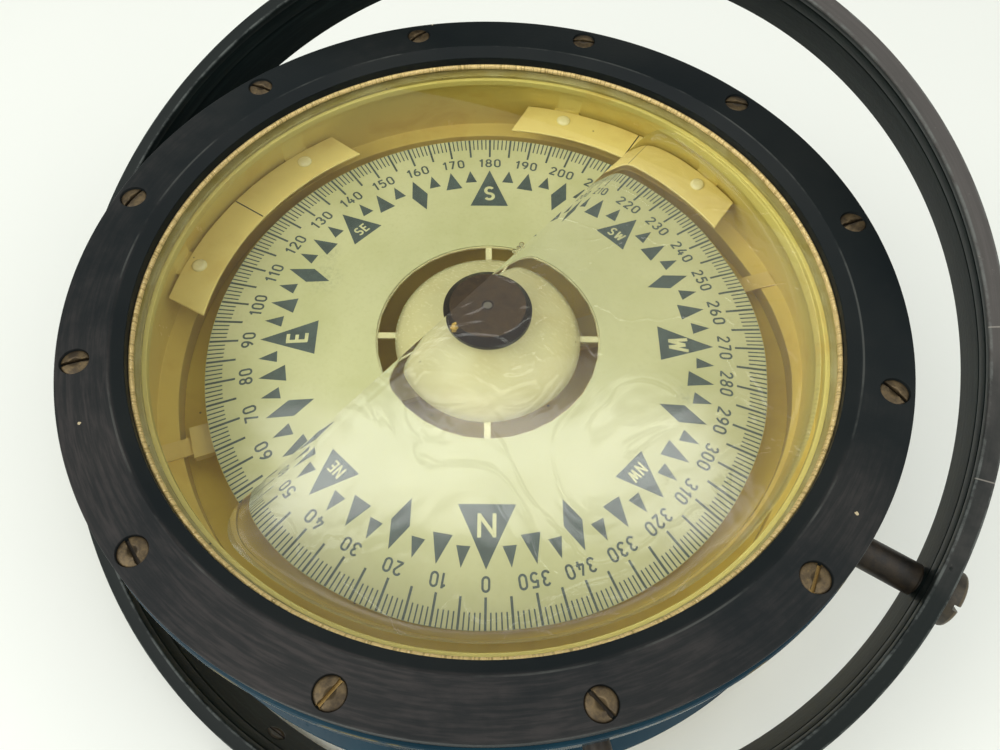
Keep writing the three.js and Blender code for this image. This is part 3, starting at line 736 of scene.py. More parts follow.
def build_packing():
    sides = PACKING_SIDES
    rng = np.random.default_rng(SEED)
    outline = [(84.6, 4.88), (84.55, 4.65), (84.6, 4.4), (84.75, 4.1), (85.0, 3.85), (85.3, 3.8), (85.5, 3.9)]
    outline += [(85.55, 4.36), (91.2, 4.36), (91.2, 4.88)]
    vertices, faces = lathe(at_depth(outline), sides)
    knots = sides // PACKING_STRIDE
    coarse = np.interp(np.arange(sides) / PACKING_STRIDE, np.arange(knots + 1), rng.normal(0, 0.05, knots + 1))
    ridge_line = rng.uniform(0, 1, sides)
    for i in range(sides, sides * (BEAD_POINTS + 1)):
        x, y, z = vertices[i]
        swell = 0.09 * (ridge_line[i % sides] - 0.5) + coarse[i % sides] + rng.normal(0, 0.02)
        grown = 1 - swell * 0.5 / math.hypot(x, y)
        vertices[i] = (x * grown, y * grown, z + swell * 0.7)
    bead = mesh_object("packing_bead", vertices, faces, 80)
    bead.modifiers.clear()
    set_values(bead, "ridge", np.tile(ridge_line, len(outline)))
    dress(bead, "packing", "bowl", "packing_ring")


# The air bubble under the glass. Its edge is a chord across the glass, closed off by the bowl's inner lip.

GLASS_TOP, GLASS_UNDER, GLASS_RADIUS = 4.95, 8.7, 91.0
CHORD_POINT = Vector((-6.5, -6.6))
CHORD_ANGLE = math.radians(80.8)
CHORD_INTO = Vector((math.sin(CHORD_ANGLE), -math.cos(CHORD_ANGLE)))  # towards the air
BUBBLE_RIM = 81.6
CORNER_ROUNDING = 9.0
MENISCUS = 0.8
AIR_DEEP, AIR_SLOPE = 2.2, 0.045
WAVES = ((41, 20, 0.4, 0.16), (29, 75, 1.9, 0.12), (23, 140, 3.1, 0.08), (17, 100, 0.9, 0.04))
BUBBLE_CENTRE = Vector((38.0, -7.0))
BUBBLE_RAYS = 480


def bubble_inset(point):
    """How far a point under the glass is inside the bubble's edge; below 0 outside it."""
    from_chord = (point - CHORD_POINT).dot(CHORD_INTO)
    from_rim = BUBBLE_RIM - point.length
    h = max(CORNER_ROUNDING - abs(from_chord - from_rim), 0.0) / CORNER_ROUNDING
    return min(from_chord, from_rim) - h * h * CORNER_ROUNDING / 4


def bubble_depth(point):
    """Depth of the air at a point: a steep wetted edge, then a gentle slope with slow waves."""
    inset = max(bubble_inset(point), 0.0)
    level = AIR_DEEP + AIR_SLOPE * max((point - CHORD_POINT).dot(CHORD_INTO), 0.0)
    for length, heading, phase, size in WAVES:
        along = Vector(polar(1.0, heading)[:2])
        level += size * math.sin(2 * math.pi * point.dot(along) / length + phase)
    return max(level * (1 - math.exp(-inset / MENISCUS)), 0.0)


def ray_end(direction, inside):
    """Distance from the bubble's centre along a ray to where inside() turns false."""
    low, high = 0.0, 200.0
    for _ in range(40):
        middle = (low + high) / 2
        if inside(BUBBLE_CENTRE + direction * middle):
            low = middle
        else:
            high = middle
    return low


DIRECTIONS = [Vector((math.cos(a), math.sin(a))) for a in evenly(BUBBLE_RAYS)]
REACHES = [ray_end(d, lambda p: bubble_inset(p) > 0) for d in DIRECTIONS]
EDGE_STEPS = [0.0, 0.15, 0.35, 0.6, 0.9, 1.3, 1.8, 2.4, 3.2, 4.2, 5.6, 7.5]  # in from the bubble's edge
INNER_SHARES = [0.96, 0.9, 0.83, 0.75, 0.66, 0.57, 0.48, 0.38, 0.28, 0.18, 0.09]


def circle_row(radius, height):
    """Where the rays from the bubble's centre meet a circle about the bowl's axis."""
    ends = [BUBBLE_CENTRE + d * ray_end(d, lambda p: p.length < radius) for d in DIRECTIONS]
    return [(p.x, p.y, height) for p in ends]


def star_body(name, levels, top_rings, centre_height, bottom_height, materials):
    """A closed body whose top is a web of rings about the bubble's centre.

    top_rings go from the innermost outwards, each a list of points; levels are (radius, height) rows of the wall
    below. materials are the looks of most faces, of the top's outermost band and, if it has its own, of the part
    about the bubble's centre.
    """
    vertices = [(BUBBLE_CENTRE.x, BUBBLE_CENTRE.y, centre_height)]
    for ring in top_rings:
        vertices += ring
    rim = [Vector(p[:2]).normalized() for p in top_rings[-1]]
    for radius, height in levels:
        vertices += [(radius * d.x, radius * d.y, height) for d in rim]
    last = len(vertices)
    vertices.append((0, 0, bottom_height))
    web = len(top_rings)
    rows = [range(1 + i * BUBBLE_RAYS, 1 + (i + 1) * BUBBLE_RAYS) for i in range(web + len(levels))]
    faces, kinds, curved = [], [], []
    for k in range(BUBBLE_RAYS):
        after = (k + 1) % BUBBLE_RAYS
        faces.append([0, rows[0][k], rows[0][after]])
        kinds.append(2 if len(materials) > 2 else 0)
        curved.append(web > 2)
        for i in range(len(rows) - 1):
            faces.append([rows[i][k], rows[i + 1][k], rows[i + 1][after], rows[i][after]])
            kinds.append(1 if i == web - 2 else 0)
            curved.append(i != web - 2)
        faces.append([rows[-1][after], rows[-1][k], last])
        kinds.append(0)
        curved.append(False)
    made = mesh_object(name, vertices, faces, 40)
    made.modifiers.clear()
    # The large flat faces are shaded flat, because a normal blended in from their edges would bend the view.
    made.data.polygons.foreach_set("use_smooth", curved)
    for look in materials:
        made.data.materials.append(LOOKS[look])
    made.data.polygons.foreach_set("material_index", kinds)
    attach(made, "bowl")
    return made


LIQUID_FLOOR = 57.6
LIQUID_WALL = [(84.6, 13.6), (90.3, 15.3), (90.3, 49.0), (84.5, 49.2), (84.5, LIQUID_FLOOR)]


def build_liquid():
    """The liquid, up to the glass but for the bubble. Its sides run a little way inside the walls."""
    glass = TOP - GLASS_UNDER - 0.02
    grid = []
    for direction, reach in zip(DIRECTIONS, REACHES):
        edge_start = max(reach - EDGE_STEPS[-1], 0.0)
        column = [edge_start * s for s in INNER_SHARES[::-1]] + [reach - s for s in EDGE_STEPS[::-1]]
        grid.append([BUBBLE_CENTRE + direction * d for d in column])
    rings = [[(p.x, p.y, glass - bubble_depth(p)) for p in row] for row in zip(*grid)]
    rings[-1] = [(x, y, glass) for x, y, _ in rings[-1]]
    rings.append(circle_row(LIQUID_WALL[0][0], glass))
    centre = glass - bubble_depth(BUBBLE_CENTRE)
    star_body("liquid", at_depth(LIQUID_WALL), rings, centre, TOP - LIQUID_FLOOR, ["liquid", "liquid_on_glass"])


def build_glass():
    """The pane, built upside down: the web is its underside, and the wall runs up to the top face."""
    top, under = TOP - GLASS_TOP, TOP - GLASS_UNDER
    edge = [(p.x, p.y, under) for p in (BUBBLE_CENTRE + d * reach for d, reach in zip(DIRECTIONS, REACHES))]
    r = GLASS_RADIUS
    levels = [(r, under + 0.3), (r, top - 0.3), (r - 0.09, top - 0.09), (r - 0.3, top)]
    looks = ["clear_glass", "glass_on_liquid", "wet_glass"]
    pane = star_body("cover_glass_fine", levels, [edge, circle_row(r, under)], under, top, looks)
    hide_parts("cover_glass")


BEADS = [(1.7, 20.4, 0.75), (3.0, 18.8, 0.6), (0.7, 19.1, 0.45), (1.5, 17.4, 0.7), (4.0, 19.9, 0.35)]
BEAD_STEPS, BEAD_SIDES = 8, 16


def build_beads():
    """Small air beads caught under the glass beside the cap, kept clear of the bubble."""
    parts = []
    for x, y, radius in BEADS:
        centre = Vector((x, y))
        inside = bubble_inset(centre) + radius
        if inside > 0:
            centre -= CHORD_INTO * (inside + 0.15)
        turns = [math.pi * i / BEAD_STEPS for i in range(BEAD_STEPS + 1)]
        outline = [(radius * math.sin(t), -radius * math.cos(t)) for t in turns]
        outline[0], outline[-1] = (0, -radius), (0, radius)
        parts.append(moved(lathe(outline, BEAD_SIDES), shifted(*centre, TOP - GLASS_UNDER - 0.06 - radius)))
    beads = mesh_object("air_beads", *merged(parts), 80)
    beads.modifiers.clear()
    dress(beads, "air", "bowl")


# Bowl, cover and ballast.


def build_bowl():
    outline = [
        (84, 56), (102.2, 56), (102.2, 52.6), (96.5, 52.0), (95.5, 51.0), (95.5, 14.5), (97, 13), (101.2, 13),
        (101.2, 6.3), (92.4, 6.3), (92.4, 10.35), (83, 10.35), (83, 13.4), (89.5, 15.4), (89.5, 48.5), (84, 48.5),
    ]  # fmt: skip
    shell = turned(outline, radius=0.35)
    lugs = [box_mesh(10, 8, 4.5, turn @ shifted(85.5, 0, TOP - 36.2)) for turn in RIVET_TURNS]
    dress(combined("bowl_shell_fine", shell, merged(lugs), "UNION"), "bowl_paint", "bowl", "bowl_shell")
    cover = [(94.3, 56.05), (102.2, 56.05), (102.2, 58.6), (95.6, 58.6), (93, 60.6), (46, 78), (6, 78)]
    cover += [(6, 76.2), (45, 76.2), (92.3, 59.1), (94.3, 58.4)]
    add_piece("bottom_cover_fine", turned(cover, radius=0.5), "bowl_paint", "bowl", "bottom_cover")
    top = TOP - 78.05
    weight = [(12, 0), (42.5, 0), (43.2, 0.3), (43.7, 0.8), (44, 1.5), (44, top - 0.8), (43.2, top), (0, top)]
    weight += [(0, 3), (12, 3)]
    add_piece("ballast_weight_fine", lathe(weight, 192), "ballast_iron", "bowl", "ballast_weight")
    gasket = turned([(84, 10.3), (91.2, 10.3), (91.2, 8.75), (84, 8.75)], radius=0.3)
    add_piece("lower_gasket_fine", gasket, "gasket_rubber", "bowl", "lower_gasket")


# Lubber plates with their lines and rivets.

PLATE_TOP, PLATE_THICK = 33.0, 0.9
PLATE_PLACES = [math.radians(90), math.radians(180)]
RIVET_TURNS = [around_z(heading + side * math.radians(16)) for heading in PLATE_PLACES for side in (-1, 1)]


def arc(radius, start, end, steps):
    angles = [start + (end - start) * k / steps for k in range(steps + 1)]
    return [(radius * math.cos(a), radius * math.sin(a)) for a in angles]


def build_plates():
    outer_half, inner_half = math.radians(24), math.radians(27)
    outline = arc(88, -outer_half, outer_half, 48) + arc(77, inner_half, -inner_half, 48)
    high = TOP - PLATE_TOP
    blank = prism(outline, high - PLATE_THICK, high)
    dome = [(0, 0.02), (2.1, 0.02), (2.1, 0.25), (1.95, 0.55), (1.6, 0.82), (1.1, 0.97), (0.5, 1.03), (0, 1.04)]
    for i, heading in enumerate(PLATE_PLACES):
        plate = mesh_object(numbered("lubber_plate_fine", i), *moved(blank, around_z(heading)))
        rounding = plate.modifiers.new("rounded_edge", "BEVEL")
        rounding.width = 0.25 * MM
        rounding.segments = 2
        rounding.limit_method = "ANGLE"
        rounding.angle_limit = math.radians(50)
        plate.modifiers.move(1, 0)
        dress(plate, "cream_paint", "bowl", numbered("lubber_plate", i))
        line = box_mesh(10.4, 0.38, 0.05, around_z(heading) @ shifted(82.6, 0, high + 0.005))
        add_piece(numbered("lubber_line", i), line, "line_ink", "bowl")
        for index in (2 * i, 2 * i + 1):
            head = moved(lathe(dome, 40), RIVET_TURNS[index] @ shifted(84, 0, high))
            # The rivet heads take the lighter copy of the cream paint, a painted highlight.
            dressing = ("rivet_highlight_paint", "bowl", numbered("lubber_rivet", index), "cream_paint")
            add_piece(numbered("rivet_head", index), head, *dressing, sharp_deg=60)


# The card and what floats with it.

CARD_HOLE, CARD_EDGE, CARD_THICK = 29.5, 74.8, 0.6
CARD_HIGH, CARD_LOW = 29.3, 36.9  # depth of the card's top at its hole and at its edge
INK_UNDER, INK_OVER = -0.03, 0.05  # the print, from the card's top
GLYPH_STROKE = 0.15
GLYPH_MIDDLE = 0.425


def card_depth(radius):
    """The card is a shallow cone: the depth of its top at this radius."""
    return CARD_HIGH + (CARD_LOW - CARD_HIGH) * (radius - CARD_HOLE) / (CARD_EDGE - CARD_HOLE)


def laid_on_card(vertices):
    """Takes points drawn over a flat card to the card's cone."""
    return [(x, y, z + TOP - card_depth(math.hypot(x, y))) for x, y, z in vertices]


def bend(cx, cy, rx, ry, start, end, steps=14):
    """Points along an arc of an ellipse, between two angles in degrees."""
    turns = [math.radians(start + (end - start) * k / steps) for k in range(steps + 1)]
    return [(cx + rx * math.cos(t), cy + ry * math.sin(t)) for t in turns]


def path(text):
    numbers = [float(n) for n in text.split()]
    return list(zip(numbers[::2], numbers[1::2]))


def glyph_strokes():
    """Width and centre lines of each digit and letter, for a height of 0.85 between the stroke centres."""
    six = [
        bend(0.21, 0.235, 0.21, 0.235, 0, 180),
        bend(0.21, 0.235, 0.21, 0.235, 180, 360),
        bend(0.42, 0.235, 0.42, 0.62, 180, 112),
    ]
    nine = [[(0.42 - x, 0.85 - y) for x, y in stroke] for stroke in six]
    zero_top = [(0.0, 0.425), *bend(0.21, 0.62, 0.21, 0.23, 180, 0), (0.42, 0.425)]
    zero_low = [(0.42, 0.425), *bend(0.21, 0.23, 0.21, 0.23, 0, -180), (0.0, 0.425)]
    eight = [bend(0.21, 0.645, 0.18, 0.205, start, start + 180) for start in (-90, 90)]
    eight += [bend(0.21, 0.22, 0.21, 0.22, start, start + 180) for start in (-90, 90)]
    return {
        "0": (0.42, [zero_top, zero_low]),
        "1": (0.24, [path("0 .66 .1 .72 .2 .85"), path(".2 .9 .2 -.05")]),
        "2": (0.42, [[*bend(0.21, 0.63, 0.205, 0.22, 170, -30), (0.02, 0.0)], path("-.02 0 .45 0")]),
        "3": (0.42, [bend(0.2, 0.64, 0.19, 0.21, 160, -90), bend(0.2, 0.215, 0.215, 0.215, 90, -165)]),
        "4": (0.44, [path(".26 .9 0 .22"), path("-.02 .2 .48 .2"), path(".32 .5 .32 -.05")]),
        "5": (0.42, [path(".42 .85 .05 .85"), path(".06 .9 .03 .44"), bend(0.2, 0.27, 0.22, 0.27, 140, -150)]),
        "6": (0.42, six),
        "7": (0.42, [path("-.02 .85 .42 .85"), path(".4 .9 .14 -.05")]),
        "8": (0.42, eight),
        "9": (0.42, nine),
        "N": (0.44, [path("0 -.07 0 .92"), path("0 .85 .44 0"), path(".44 -.07 .44 .92")]),
        "north": (0.62, [path("0 -.07 0 .92"), path("0 .85 .62 0"), path(".62 -.07 .62 .92")]),
        "E": (0.36, [path("0 -.07 0 .92"), path("0 .85 .4 .85"), path("0 .44 .34 .44"), path("0 0 .4 0")]),
        "S": (0.4, [bend(0.2, 0.635, 0.19, 0.215, 35, 270), bend(0.2, 0.21, 0.2, 0.21, 90, -150)]),
        "W": (0.6, [path("0 .92 .14 0"), path(".14 0 .3 .8"), path(".3 .8 .46 0"), path(".46 0 .6 .92")]),
    }


def ribbon(points, width):
    """The outline of a stroke of this width along the points, its ends cut square."""
    line = [Vector(p) for p in points]
    left, right = [], []
    for i, here in enumerate(line):
        before = (here - line[i - 1]).normalized() if i else (line[1] - here).normalized()
        after = (line[i + 1] - here).normalized() if i < len(line) - 1 else before
        along = (before + after).normalized()
        side = Vector((-along.y, along.x)) * (width / 2 / max(along.dot(after), 0.5))
        left.append(here + side)
        right.append(here - side)
    return left + right[::-1]


def covers(polygon, point):
    """Whether a polygon holds a point: a ray from the point crosses its border an odd number of times."""
    crossings = 0
    for a, b in zip(polygon, [*polygon[1:], polygon[0]]):
        if (a.y > point.y) != (b.y > point.y):
            crossings += a.x + (b.x - a.x) * (point.y - a.y) / (b.y - a.y) > point.x
    return crossings % 2 == 1


def flat_union(polygons, low, high):
    """A solid plate whose outline is the union of some polygons."""
    points, loops = [], []
    for polygon in polygons:
        loops.append(list(range(len(points), len(points) + len(polygon))))
        points += polygon
    found, _, triangles, _, _, _ = delaunay_2d_cdt(points, [], loops, 1, 1e-5)
    kept, edges = [], set()
    for triangle in triangles:
        # The triangulation also fills what the polygons enclose, such as the inside of a 0.
        middle = sum((found[i] for i in triangle), Vector((0, 0))) / 3
        if any(covers(p, middle) for p in polygons):
            kept.append(list(triangle))
            edges.update(zip(triangle, [*triangle[1:], triangle[0]]))
    count = len(found)
    vertices = [(p.x, p.y, z) for z in (high, low) for p in found]
    faces = kept + [[count + i for i in reversed(t)] for t in kept]
    faces += [[b, a, count + a, count + b] for a, b in sorted(edges) if (b, a) not in edges]
    return vertices, faces


GLYPHS = glyph_strokes()


def written(text, height, low, high, gap=0.16, stroke=GLYPH_STROKE):
    """A word, or a list of signs, as thin solids centred on the origin in the XY plane."""
    widths = [GLYPHS[c][0] + stroke for c in text]
    x = -(sum(widths) + gap * (len(text) - 1)) / 2
    parts = []
    for c, width in zip(text, widths):
        left = x + stroke / 2
        strokes = GLYPHS[c][1]
        lines = [[((px + left) * height, (py - GLYPH_MIDDLE) * height) for px, py in line] for line in strokes]
        parts.append(flat_union([ribbon(line, stroke * height) for line in lines], low, high))
        x += width + gap
    return merged(parts)


def on_card(heading_deg, radius):
    """Takes a shape drawn about the origin, its top towards +Y, to this heading and radius on the card."""
    return around_z(math.radians(CARD_NORTH_DEG - heading_deg - 90)) @ shifted(0, radius, 0)


def wedge(base, half, apex):
    """A printed triangle that points outwards, cut into slivers so that it follows the card."""
    slivers = 8
    outline = [(0, apex)] + [(half * (2 * k / slivers - 1), base) for k in range(slivers + 1)]
    count = len(outline)
    vertices = [(x, y, z) for z in (INK_OVER, INK_UNDER) for x, y in outline]
    faces = [[0, k, k + 1] for k in range(1, count - 1)]
    faces += [[count + i for i in reversed(f)] for f in faces]
    faces += [[(k + 1) % count, k, count + k, count + (k + 1) % count] for k in range(count)]
    return vertices, faces


def point_mark(k):
    """The mark of the k-th of 64 points: large triangles, rhombs and small triangles."""
    if k % 16 == 0:
        return wedge(45.5, {0: 7.1, 32: 5.5}.get(k, 5.2), 60.8)
    if k % 8 == 0:
        return wedge(49.0, 5.0, 60.9)
    if k % 4 == 0:
        return prism([(0, 47.7), (2.4, 53.8), (0, 60.6), (-2.4, 53.8)], INK_UNDER, INK_OVER)
    if k % 2 == 0:
        return wedge(53.5, 2.4, 60.7)
    return wedge(55.7, 1.7, 60.7)


POINT_NAMES = [["north"], "NE", "E", "SE", "S", "SW", "W", "NW"]


def build_print():
    ink, pale = [], []
    for degree in range(360):
        inner, width = (66.8, 0.6) if degree % 5 == 0 else (70.2, 0.36)
        length = CARD_EDGE - 0.08 - inner
        middle = on_card(degree, inner + length / 2) @ shifted(0, 0, (INK_UNDER + INK_OVER) / 2)
        ink.append(box_mesh(width, length, INK_OVER - INK_UNDER, middle))
        if degree % 10 == 0:
            ink.append(moved(written(str(degree), 3.65, INK_UNDER, INK_OVER), on_card(degree, 64.0)))
    for k in range(64):
        heading = 5.625 * k
        ink.append(moved(point_mark(k), on_card(heading, 0)))
        if k % 8 == 0:
            size, radius = (5.9, 50.7) if k % 16 == 0 else (3.3, 52.0)
            name = written(POINT_NAMES[k // 8], size, INK_OVER - 0.01, INK_OVER + 0.02, 0.12, 0.16)
            pale.append(moved(name, on_card(heading, radius)))
    for name, parts, look in (("card_print", ink, "ink"), ("card_letters", pale, "pale_ink")):
        vertices, faces = merged(parts)
        piece = mesh_object(name, laid_on_card(vertices), faces)
        piece.modifiers.clear()
        dress(piece, look, "card")


def bezier(points, steps):
    made = []
    for k in range(steps + 1):
        t = k / steps
        weights = ((1 - t) ** 3, 3 * t * (1 - t) ** 2, 3 * t * t * (1 - t), t**3)
        made.append(tuple(sum(w * p[i] for w, p in zip(weights, points)) for i in (0, 1)))
    return made


CAP_SIDES = 144


def build_card():
    disc = [(CARD_HOLE, CARD_HIGH + CARD_THICK), (CARD_EDGE, CARD_LOW + CARD_THICK)]
    disc += [(CARD_EDGE, CARD_LOW), (CARD_HOLE, CARD_HIGH)]
    add_piece("card_disc", turned(disc, radius=0.08), "card_face", "card", "compass_card")
    flare = bezier([(9, 13.95), (9.5, 19.45), (22.5, 20.2), (24.5, 30.2)], 28)
    inside = [(r - 0.9, depth) for r, depth in flare][::-1]
    dome = [(0, 12.95), (8.6, 12.95), (9, 13.35), *flare, *inside, (8.1, 13.85), (0, 13.85)]
    dome = lathe(at_depth(dome), CAP_SIDES)
    add_piece("float_dome_fine", dome, "float_paint", "card", "float_dome", "card_face")
    cap = [(0, 9.04), (0.9, 9.05), (1.05, 9.15), (1.12, 9.35), (1.3, 9.35), (1.42, 9.08), (1.6, 9.0), (9.35, 9.0)]
    cap += [(9.6, 9.1), (11.1, 10.75), (11.2, 11.0), (11.2, 12.5), (11.05, 12.75), (10.7, 12.88), (0, 12.88)]
    add_piece("card_cap_fine", lathe(at_depth(cap), CAP_SIDES), "cap_brown", "card", "card_cap")


# Gimbal ring, its pivots and its studs.

PIVOTS, STUDS = evenly(2), evenly(2, 90)  # directions of the ring's inner pivots and of its outer studs
RING_INNER, RING_OUTER, RING_LOW, RING_HIGH = 118.6, 122.8, -7.7, 11.7
GROOVES = ((9.25, 0.35), (4.9, 0.32))  # height and depth
GROOVE_HALF = 0.35


def bore(radius, sides):
    return lathe([(0, 110), (radius, 110), (radius, 130), (0, 130)], sides)


def build_gimbal():
    corners = [(RING_INNER, RING_LOW), (RING_OUTER, RING_LOW), (RING_OUTER, RING_HIGH), (RING_INNER, RING_HIGH)]
    outline = rounded(corners, 0.45)
    for z, deep in GROOVES:
        outline += [(RING_INNER, z + GROOVE_HALF), (RING_INNER + deep, z), (RING_INNER, z - GROOVE_HALF)]
    band = lathe(outline, 360)
    tools = [moved(bore(3.1, 48), outward(a, 0)) for a in PIVOTS]
    tools += [moved(bore(2.7, 40), outward(a, 0)) for a in STUDS]
    punch_mark = lathe([(0, 11.2), (0.3, 11.3), (0.65, 11.75), (0.65, 13), (0, 13)], 24)
    tools.append(moved(punch_mark, around_z(math.radians(2.6)) @ shifted(120.3, 0, 0)))
    made = cut("gimbal_ring_fine", band, merged(tools))
    transform(made, RING_FRAME)
    dress(made, "ring_enamel", "ring", "gimbal_ring")


def build_studs():
    outline = [(0, 118.3), (2.6, 118.3), (2.6, 123.1), (8, 123.1), (8, 124.9), (5, 125.5), (5, 134.8), (0, 134.8)]
    blank = lathe(rounded(outline, 0.3, False), 64)
    slot = box_mesh(0.8, 8, 0.8, shifted(0, 0, 118.7))
    marks = {"dirt": lambda p: 118.5 < p.z < 119.2, "worn": lambda p: p.z > 134.5}
    for i, angle in enumerate(STUDS):
        dressing = ("brown_bronze", "ring", numbered("ring_stud", i))
        add_slotted(numbered("ring_stud_fine", i), blank, slot, marks, RING_FRAME @ outward(angle, 0), *dressing)


def build_trunnions():
    boss = [(0, 90.3), (2.95, 90.3), (2.95, 95.7), (8, 95.7), (8, 98.2), (4, 99.0), (4, 118.2), (2.65, 118.2)]
    boss += [(2.65, 104.2), (0, 104.2)]
    seat = 123.05
    screw = [(0, 105.2), (2.5, 105.2), (2.5, 118.3), (3, 118.3), (3, seat), (6.8, seat), (6.8, seat + 3.3)]
    screw += [(6.55, seat + 3.8), (5.9, seat + 4.2), (0, seat + 4.2)]
    blank = lathe(rounded(screw, 0.35, False), 72)
    marks = {
        "dirt": lambda p: 124.0 < p.z < 126.0 and math.hypot(p.x, p.y) < 6.75,
        "worn": lambda p: p.z > 126.4 and math.hypot(p.x, p.y) > 5.5,
    }
    slot = box_mesh(1.3, 20, 1.6, around_z(math.radians(129)) @ shifted(0, 0, seat + 3.4))
    for i, angle in enumerate(PIVOTS):
        whole = outward(angle, AXIS_HEIGHT)
        pin = moved(lathe(rounded(boss, 0.4, False), 72), whole)
        add_piece(numbered("trunnion_boss_fine", i), pin, "brown_bronze", "bowl", numbered("trunnion_boss", i))
        dressing = ("dull_bronze", "bowl", numbered("trunnion_screw", i), "bronze")
        add_slotted(numbered("trunnion_screw_fine", i), blank, slot, marks, whole, *dressing)


def build_filler():
    outline = [(0, 90.3), (1.9, 90.3), (1.9, 96.9), (2.9, 96.9), (2.9, 106), (0, 106)]
    slot = box_mesh(0.9, 9, 1.2, shifted(0, 0, 105.4))
    whole = outward(math.radians(-45), TOP - 21)
    blank = lathe(rounded(outline, 0.35, False), 56)
    marks = {"dirt": lambda p: 104.5 < p.z < 105.2 and math.hypot(p.x, p.y) < 2.85}
    add_slotted("filler_plug_fine", blank, slot, marks, whole, "brown_bronze", "bowl", "filler_plug")
    washer = lathe(rounded([(2.1, 95.65), (4.2, 95.65), (4.2, 96.8), (2.1, 96.8)], 0.25), 56)
    add_piece("filler_washer_fine", moved(washer, whole), "gasket_rubber", "bowl", "filler_washer")


# CAD nodes that stay as they are, with a finish and smooth shading.

KEPT = {
    "bridge_paint": ["pivot_bridge"],
    "deep_paint": ["diaphragm", "diaphragm_ring"],
    "float_paint": ["card_spider", "float_base"],
    "brass": ["pivot_stem", "jewel_cup"],
    "steel": ["pivot_needle", "card_magnet_01", "card_magnet_02"],
    "bronze": [numbered("cover_screw", i) for i in range(4)],
}


def smoothing_group():
    """A node group that merges doubled points and shades smooth up to SHARP_DEG."""
    group = bpy.data.node_groups.new("smooth_by_angle", "GeometryNodeTree")
    for direction in ("INPUT", "OUTPUT"):
        group.interface.new_socket("Geometry", in_out=direction, socket_type="NodeSocketGeometry")
    nodes = Nodes(group)
    geometry = nodes.add("NodeGroupInput")
    geometry = nodes.add("GeometryNodeRemoveAttribute", values={0: geometry, "Name": "custom_normal"})
    geometry = nodes.add("GeometryNodeMergeByDistance", values={0: geometry, "Distance": 1e-6})
    geometry = nodes.add("GeometryNodeSetShadeSmooth", values=(geometry,))
    angle = nodes.add("GeometryNodeInputMeshEdgeAngle", out="Unsigned Angle")
    flat = nodes.add("FunctionNodeCompare", {"operation": "LESS_THAN"}, (angle, math.radians(SHARP_DEG)))
    settings = {"domain": "EDGE"}
    geometry = nodes.add("GeometryNodeSetShadeSmooth", settings, {0: geometry, "Shade Smooth": flat})
    nodes.put(geometry, group.nodes.new("NodeGroupOutput").inputs[0])
    return group


def finish_kept_nodes():
    group = smoothing_group()
    for look, names in KEPT.items():
        for name in names:
            node = frame["nodes"][name]
            node.data.materials.clear()
            node.data.materials.append(LOOKS[look])
            node.modifiers.new("smooth", "NODES").node_group = group


def build_object():
    build_bezel()
    build_bezel_screws()
    build_packing()
    build_glass()
    build_liquid()
    build_beads()
    build_bowl()
    build_plates()
    build_card()
    build_print()
    build_gimbal()
    build_studs()
    build_trunnions()
    build_filler()
    finish_kept_nodes()


build_object()

# ---- Stage, light and camera ----

FLOOR_HALF, FLOOR_DEPTH = 4000, -0.3


def build_stage():
    look = Look("pale_table")
    fine = look.noise(0.15, 5.0, 0.7)
    look.ground(look.noise(0.004), (0.83, 0.85, 0.8), (0.87, 0.88, 0.83))
    look.paint(fine.step(0.6, 0.8) * 0.15, (0.76, 0.77, 0.74))
    look.finish(fine.spread(0.45, 0.6))
    corners = [(x * FLOOR_HALF, y * FLOOR_HALF, FLOOR_DEPTH) for x, y in ((-1, -1), (1, -1), (1, 1), (-1, 1))]
    floor = mesh_object("table", corners, [[0, 1, 2, 3]])
    floor.modifiers.clear()
    floor.data.materials.append(look.material)


def area_light(name, place, target, size, power, color=(1.0, 1.0, 1.0)):
    """A soft rectangular lamp; place, target and size in millimetres, power in watts."""
    data = bpy.data.lights.new(name, "AREA")
    data.shape = "RECTANGLE"
    data.size, data.size_y = size[0] * MM, size[1] * MM
    data.energy = power
    data.color = color
    lamp = bpy.data.objects.new(name, data)
    bpy.context.scene.collection.objects.link(lamp)
    lamp.location = Vector(place) * MM
    lamp.rotation_euler = (Vector(target) - Vector(place)).to_track_quat("-Z", "Y").to_euler()
    return lamp


VIEW_AZIMUTH, VIEW_ELEVATION, VIEW_ROLL = math.radians(31.03), math.radians(59.854), 0.020684
RIGHT = Vector((math.cos(VIEW_AZIMUTH), math.sin(VIEW_AZIMUTH), 0))
AHEAD = Vector((-math.sin(VIEW_AZIMUTH), math.cos(VIEW_AZIMUTH), 0))
FADES = (0.12, 0.3)  # share of the window's width and height over which each edge fades


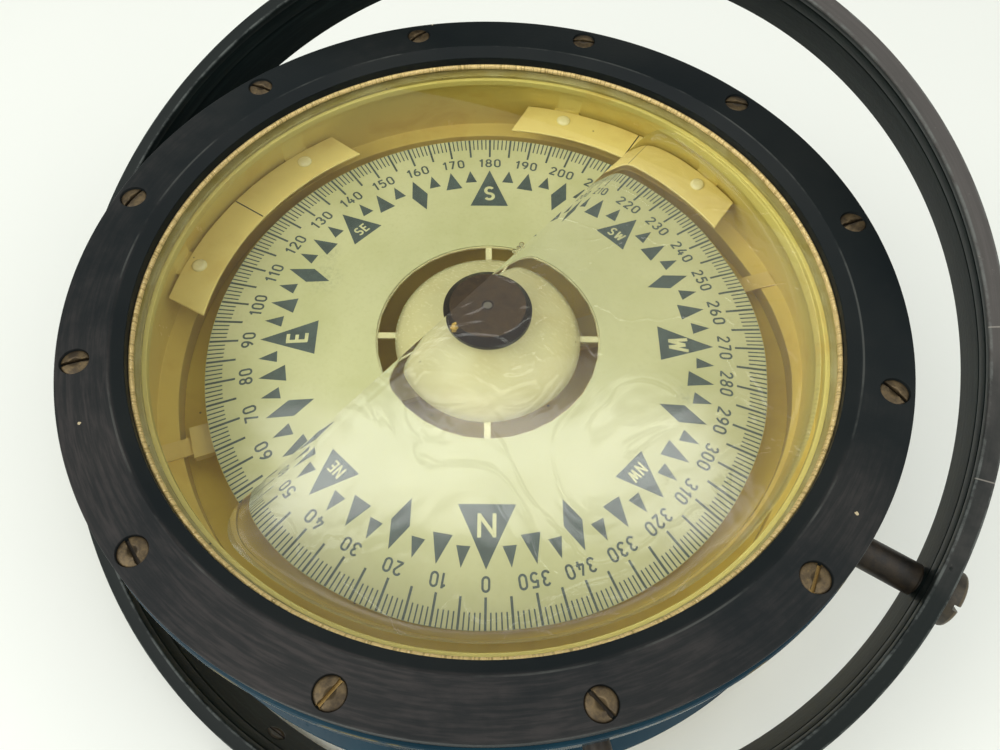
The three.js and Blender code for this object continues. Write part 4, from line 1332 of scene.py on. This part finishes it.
def soften_window(lamp):
    """Fades the lamp towards its edges, unevenly, like a curtained window."""
    lamp.data.use_nodes = True
    nodes = Nodes(lamp.data.node_tree)
    place = nodes.add("ShaderNodeNewGeometry", out="Parametric")
    noise = nodes.add("ShaderNodeTexNoise", Vector=place, Scale=5.0, Detail=3.0)
    uneven = (noise - 0.5) * 0.25
    across, up, _ = place.parts()
    shares = [(abs(part - 0.5) + uneven).step(0.5, 0.5 - fade) for part, fade in zip((across, up), FADES)]
    nodes.put(shares[0] * shares[1], nodes.tree.nodes["Emission"].inputs["Strength"])


def build_lights():
    world = bpy.data.worlds.new("studio")
    bpy.context.scene.world = world
    world.use_nodes = True
    background = world.node_tree.nodes["Background"]
    background.inputs["Color"].default_value = (0.97, 1.0, 0.97, 1.0)
    background.inputs["Strength"].default_value = 0.5
    soften_window(area_light("window", AHEAD * 250 + Vector((0, 0, 760)), AHEAD * 100, (600, 200), 0.95))
    high = Vector((0, 0, 1300))
    for name, side, back, power, blue in (("key", -900, 400, 15.0, 0.97), ("fill", 900, 500, 9.5, 0.98)):
        spot = high - AHEAD * back + RIGHT * side
        area_light(name, spot, (0, 0, 60), (1200, 1200), power, (1.0, 1.0, blue))


def build_camera():
    up = AHEAD * math.sin(VIEW_ELEVATION) + Vector((0, 0, math.cos(VIEW_ELEVATION)))
    back = -AHEAD * math.cos(VIEW_ELEVATION) + Vector((0, 0, math.sin(VIEW_ELEVATION)))
    right = RIGHT * math.cos(VIEW_ROLL) + up * math.sin(VIEW_ROLL)
    up = up * math.cos(VIEW_ROLL) - RIGHT * math.sin(VIEW_ROLL)
    data = bpy.data.cameras.new("view")
    data.sensor_width = 36.0
    data.lens = 28.33
    data.clip_start, data.clip_end = 0.01, 20.0
    camera = bpy.data.objects.new("view", data)
    bpy.context.scene.collection.objects.link(camera)
    turn = Matrix((right, up, back)).transposed().to_4x4()
    camera.matrix_world = Matrix.Translation(Vector((61.46, -95.55, TOP + 153.43)) * MM) @ turn
    bpy.context.scene.camera = camera


build_stage()
build_lights()
build_camera()

scene = bpy.context.scene
scene.view_settings.view_transform = "Standard"
scene.view_settings.look = "None"
scene.view_settings.exposure = 0.0
scene.cycles.max_bounces = 16
scene.cycles.transmission_bounces = 16
scene.cycles.transparent_max_bounces = 16
scene.cycles.sample_clamp_indirect = 4.0
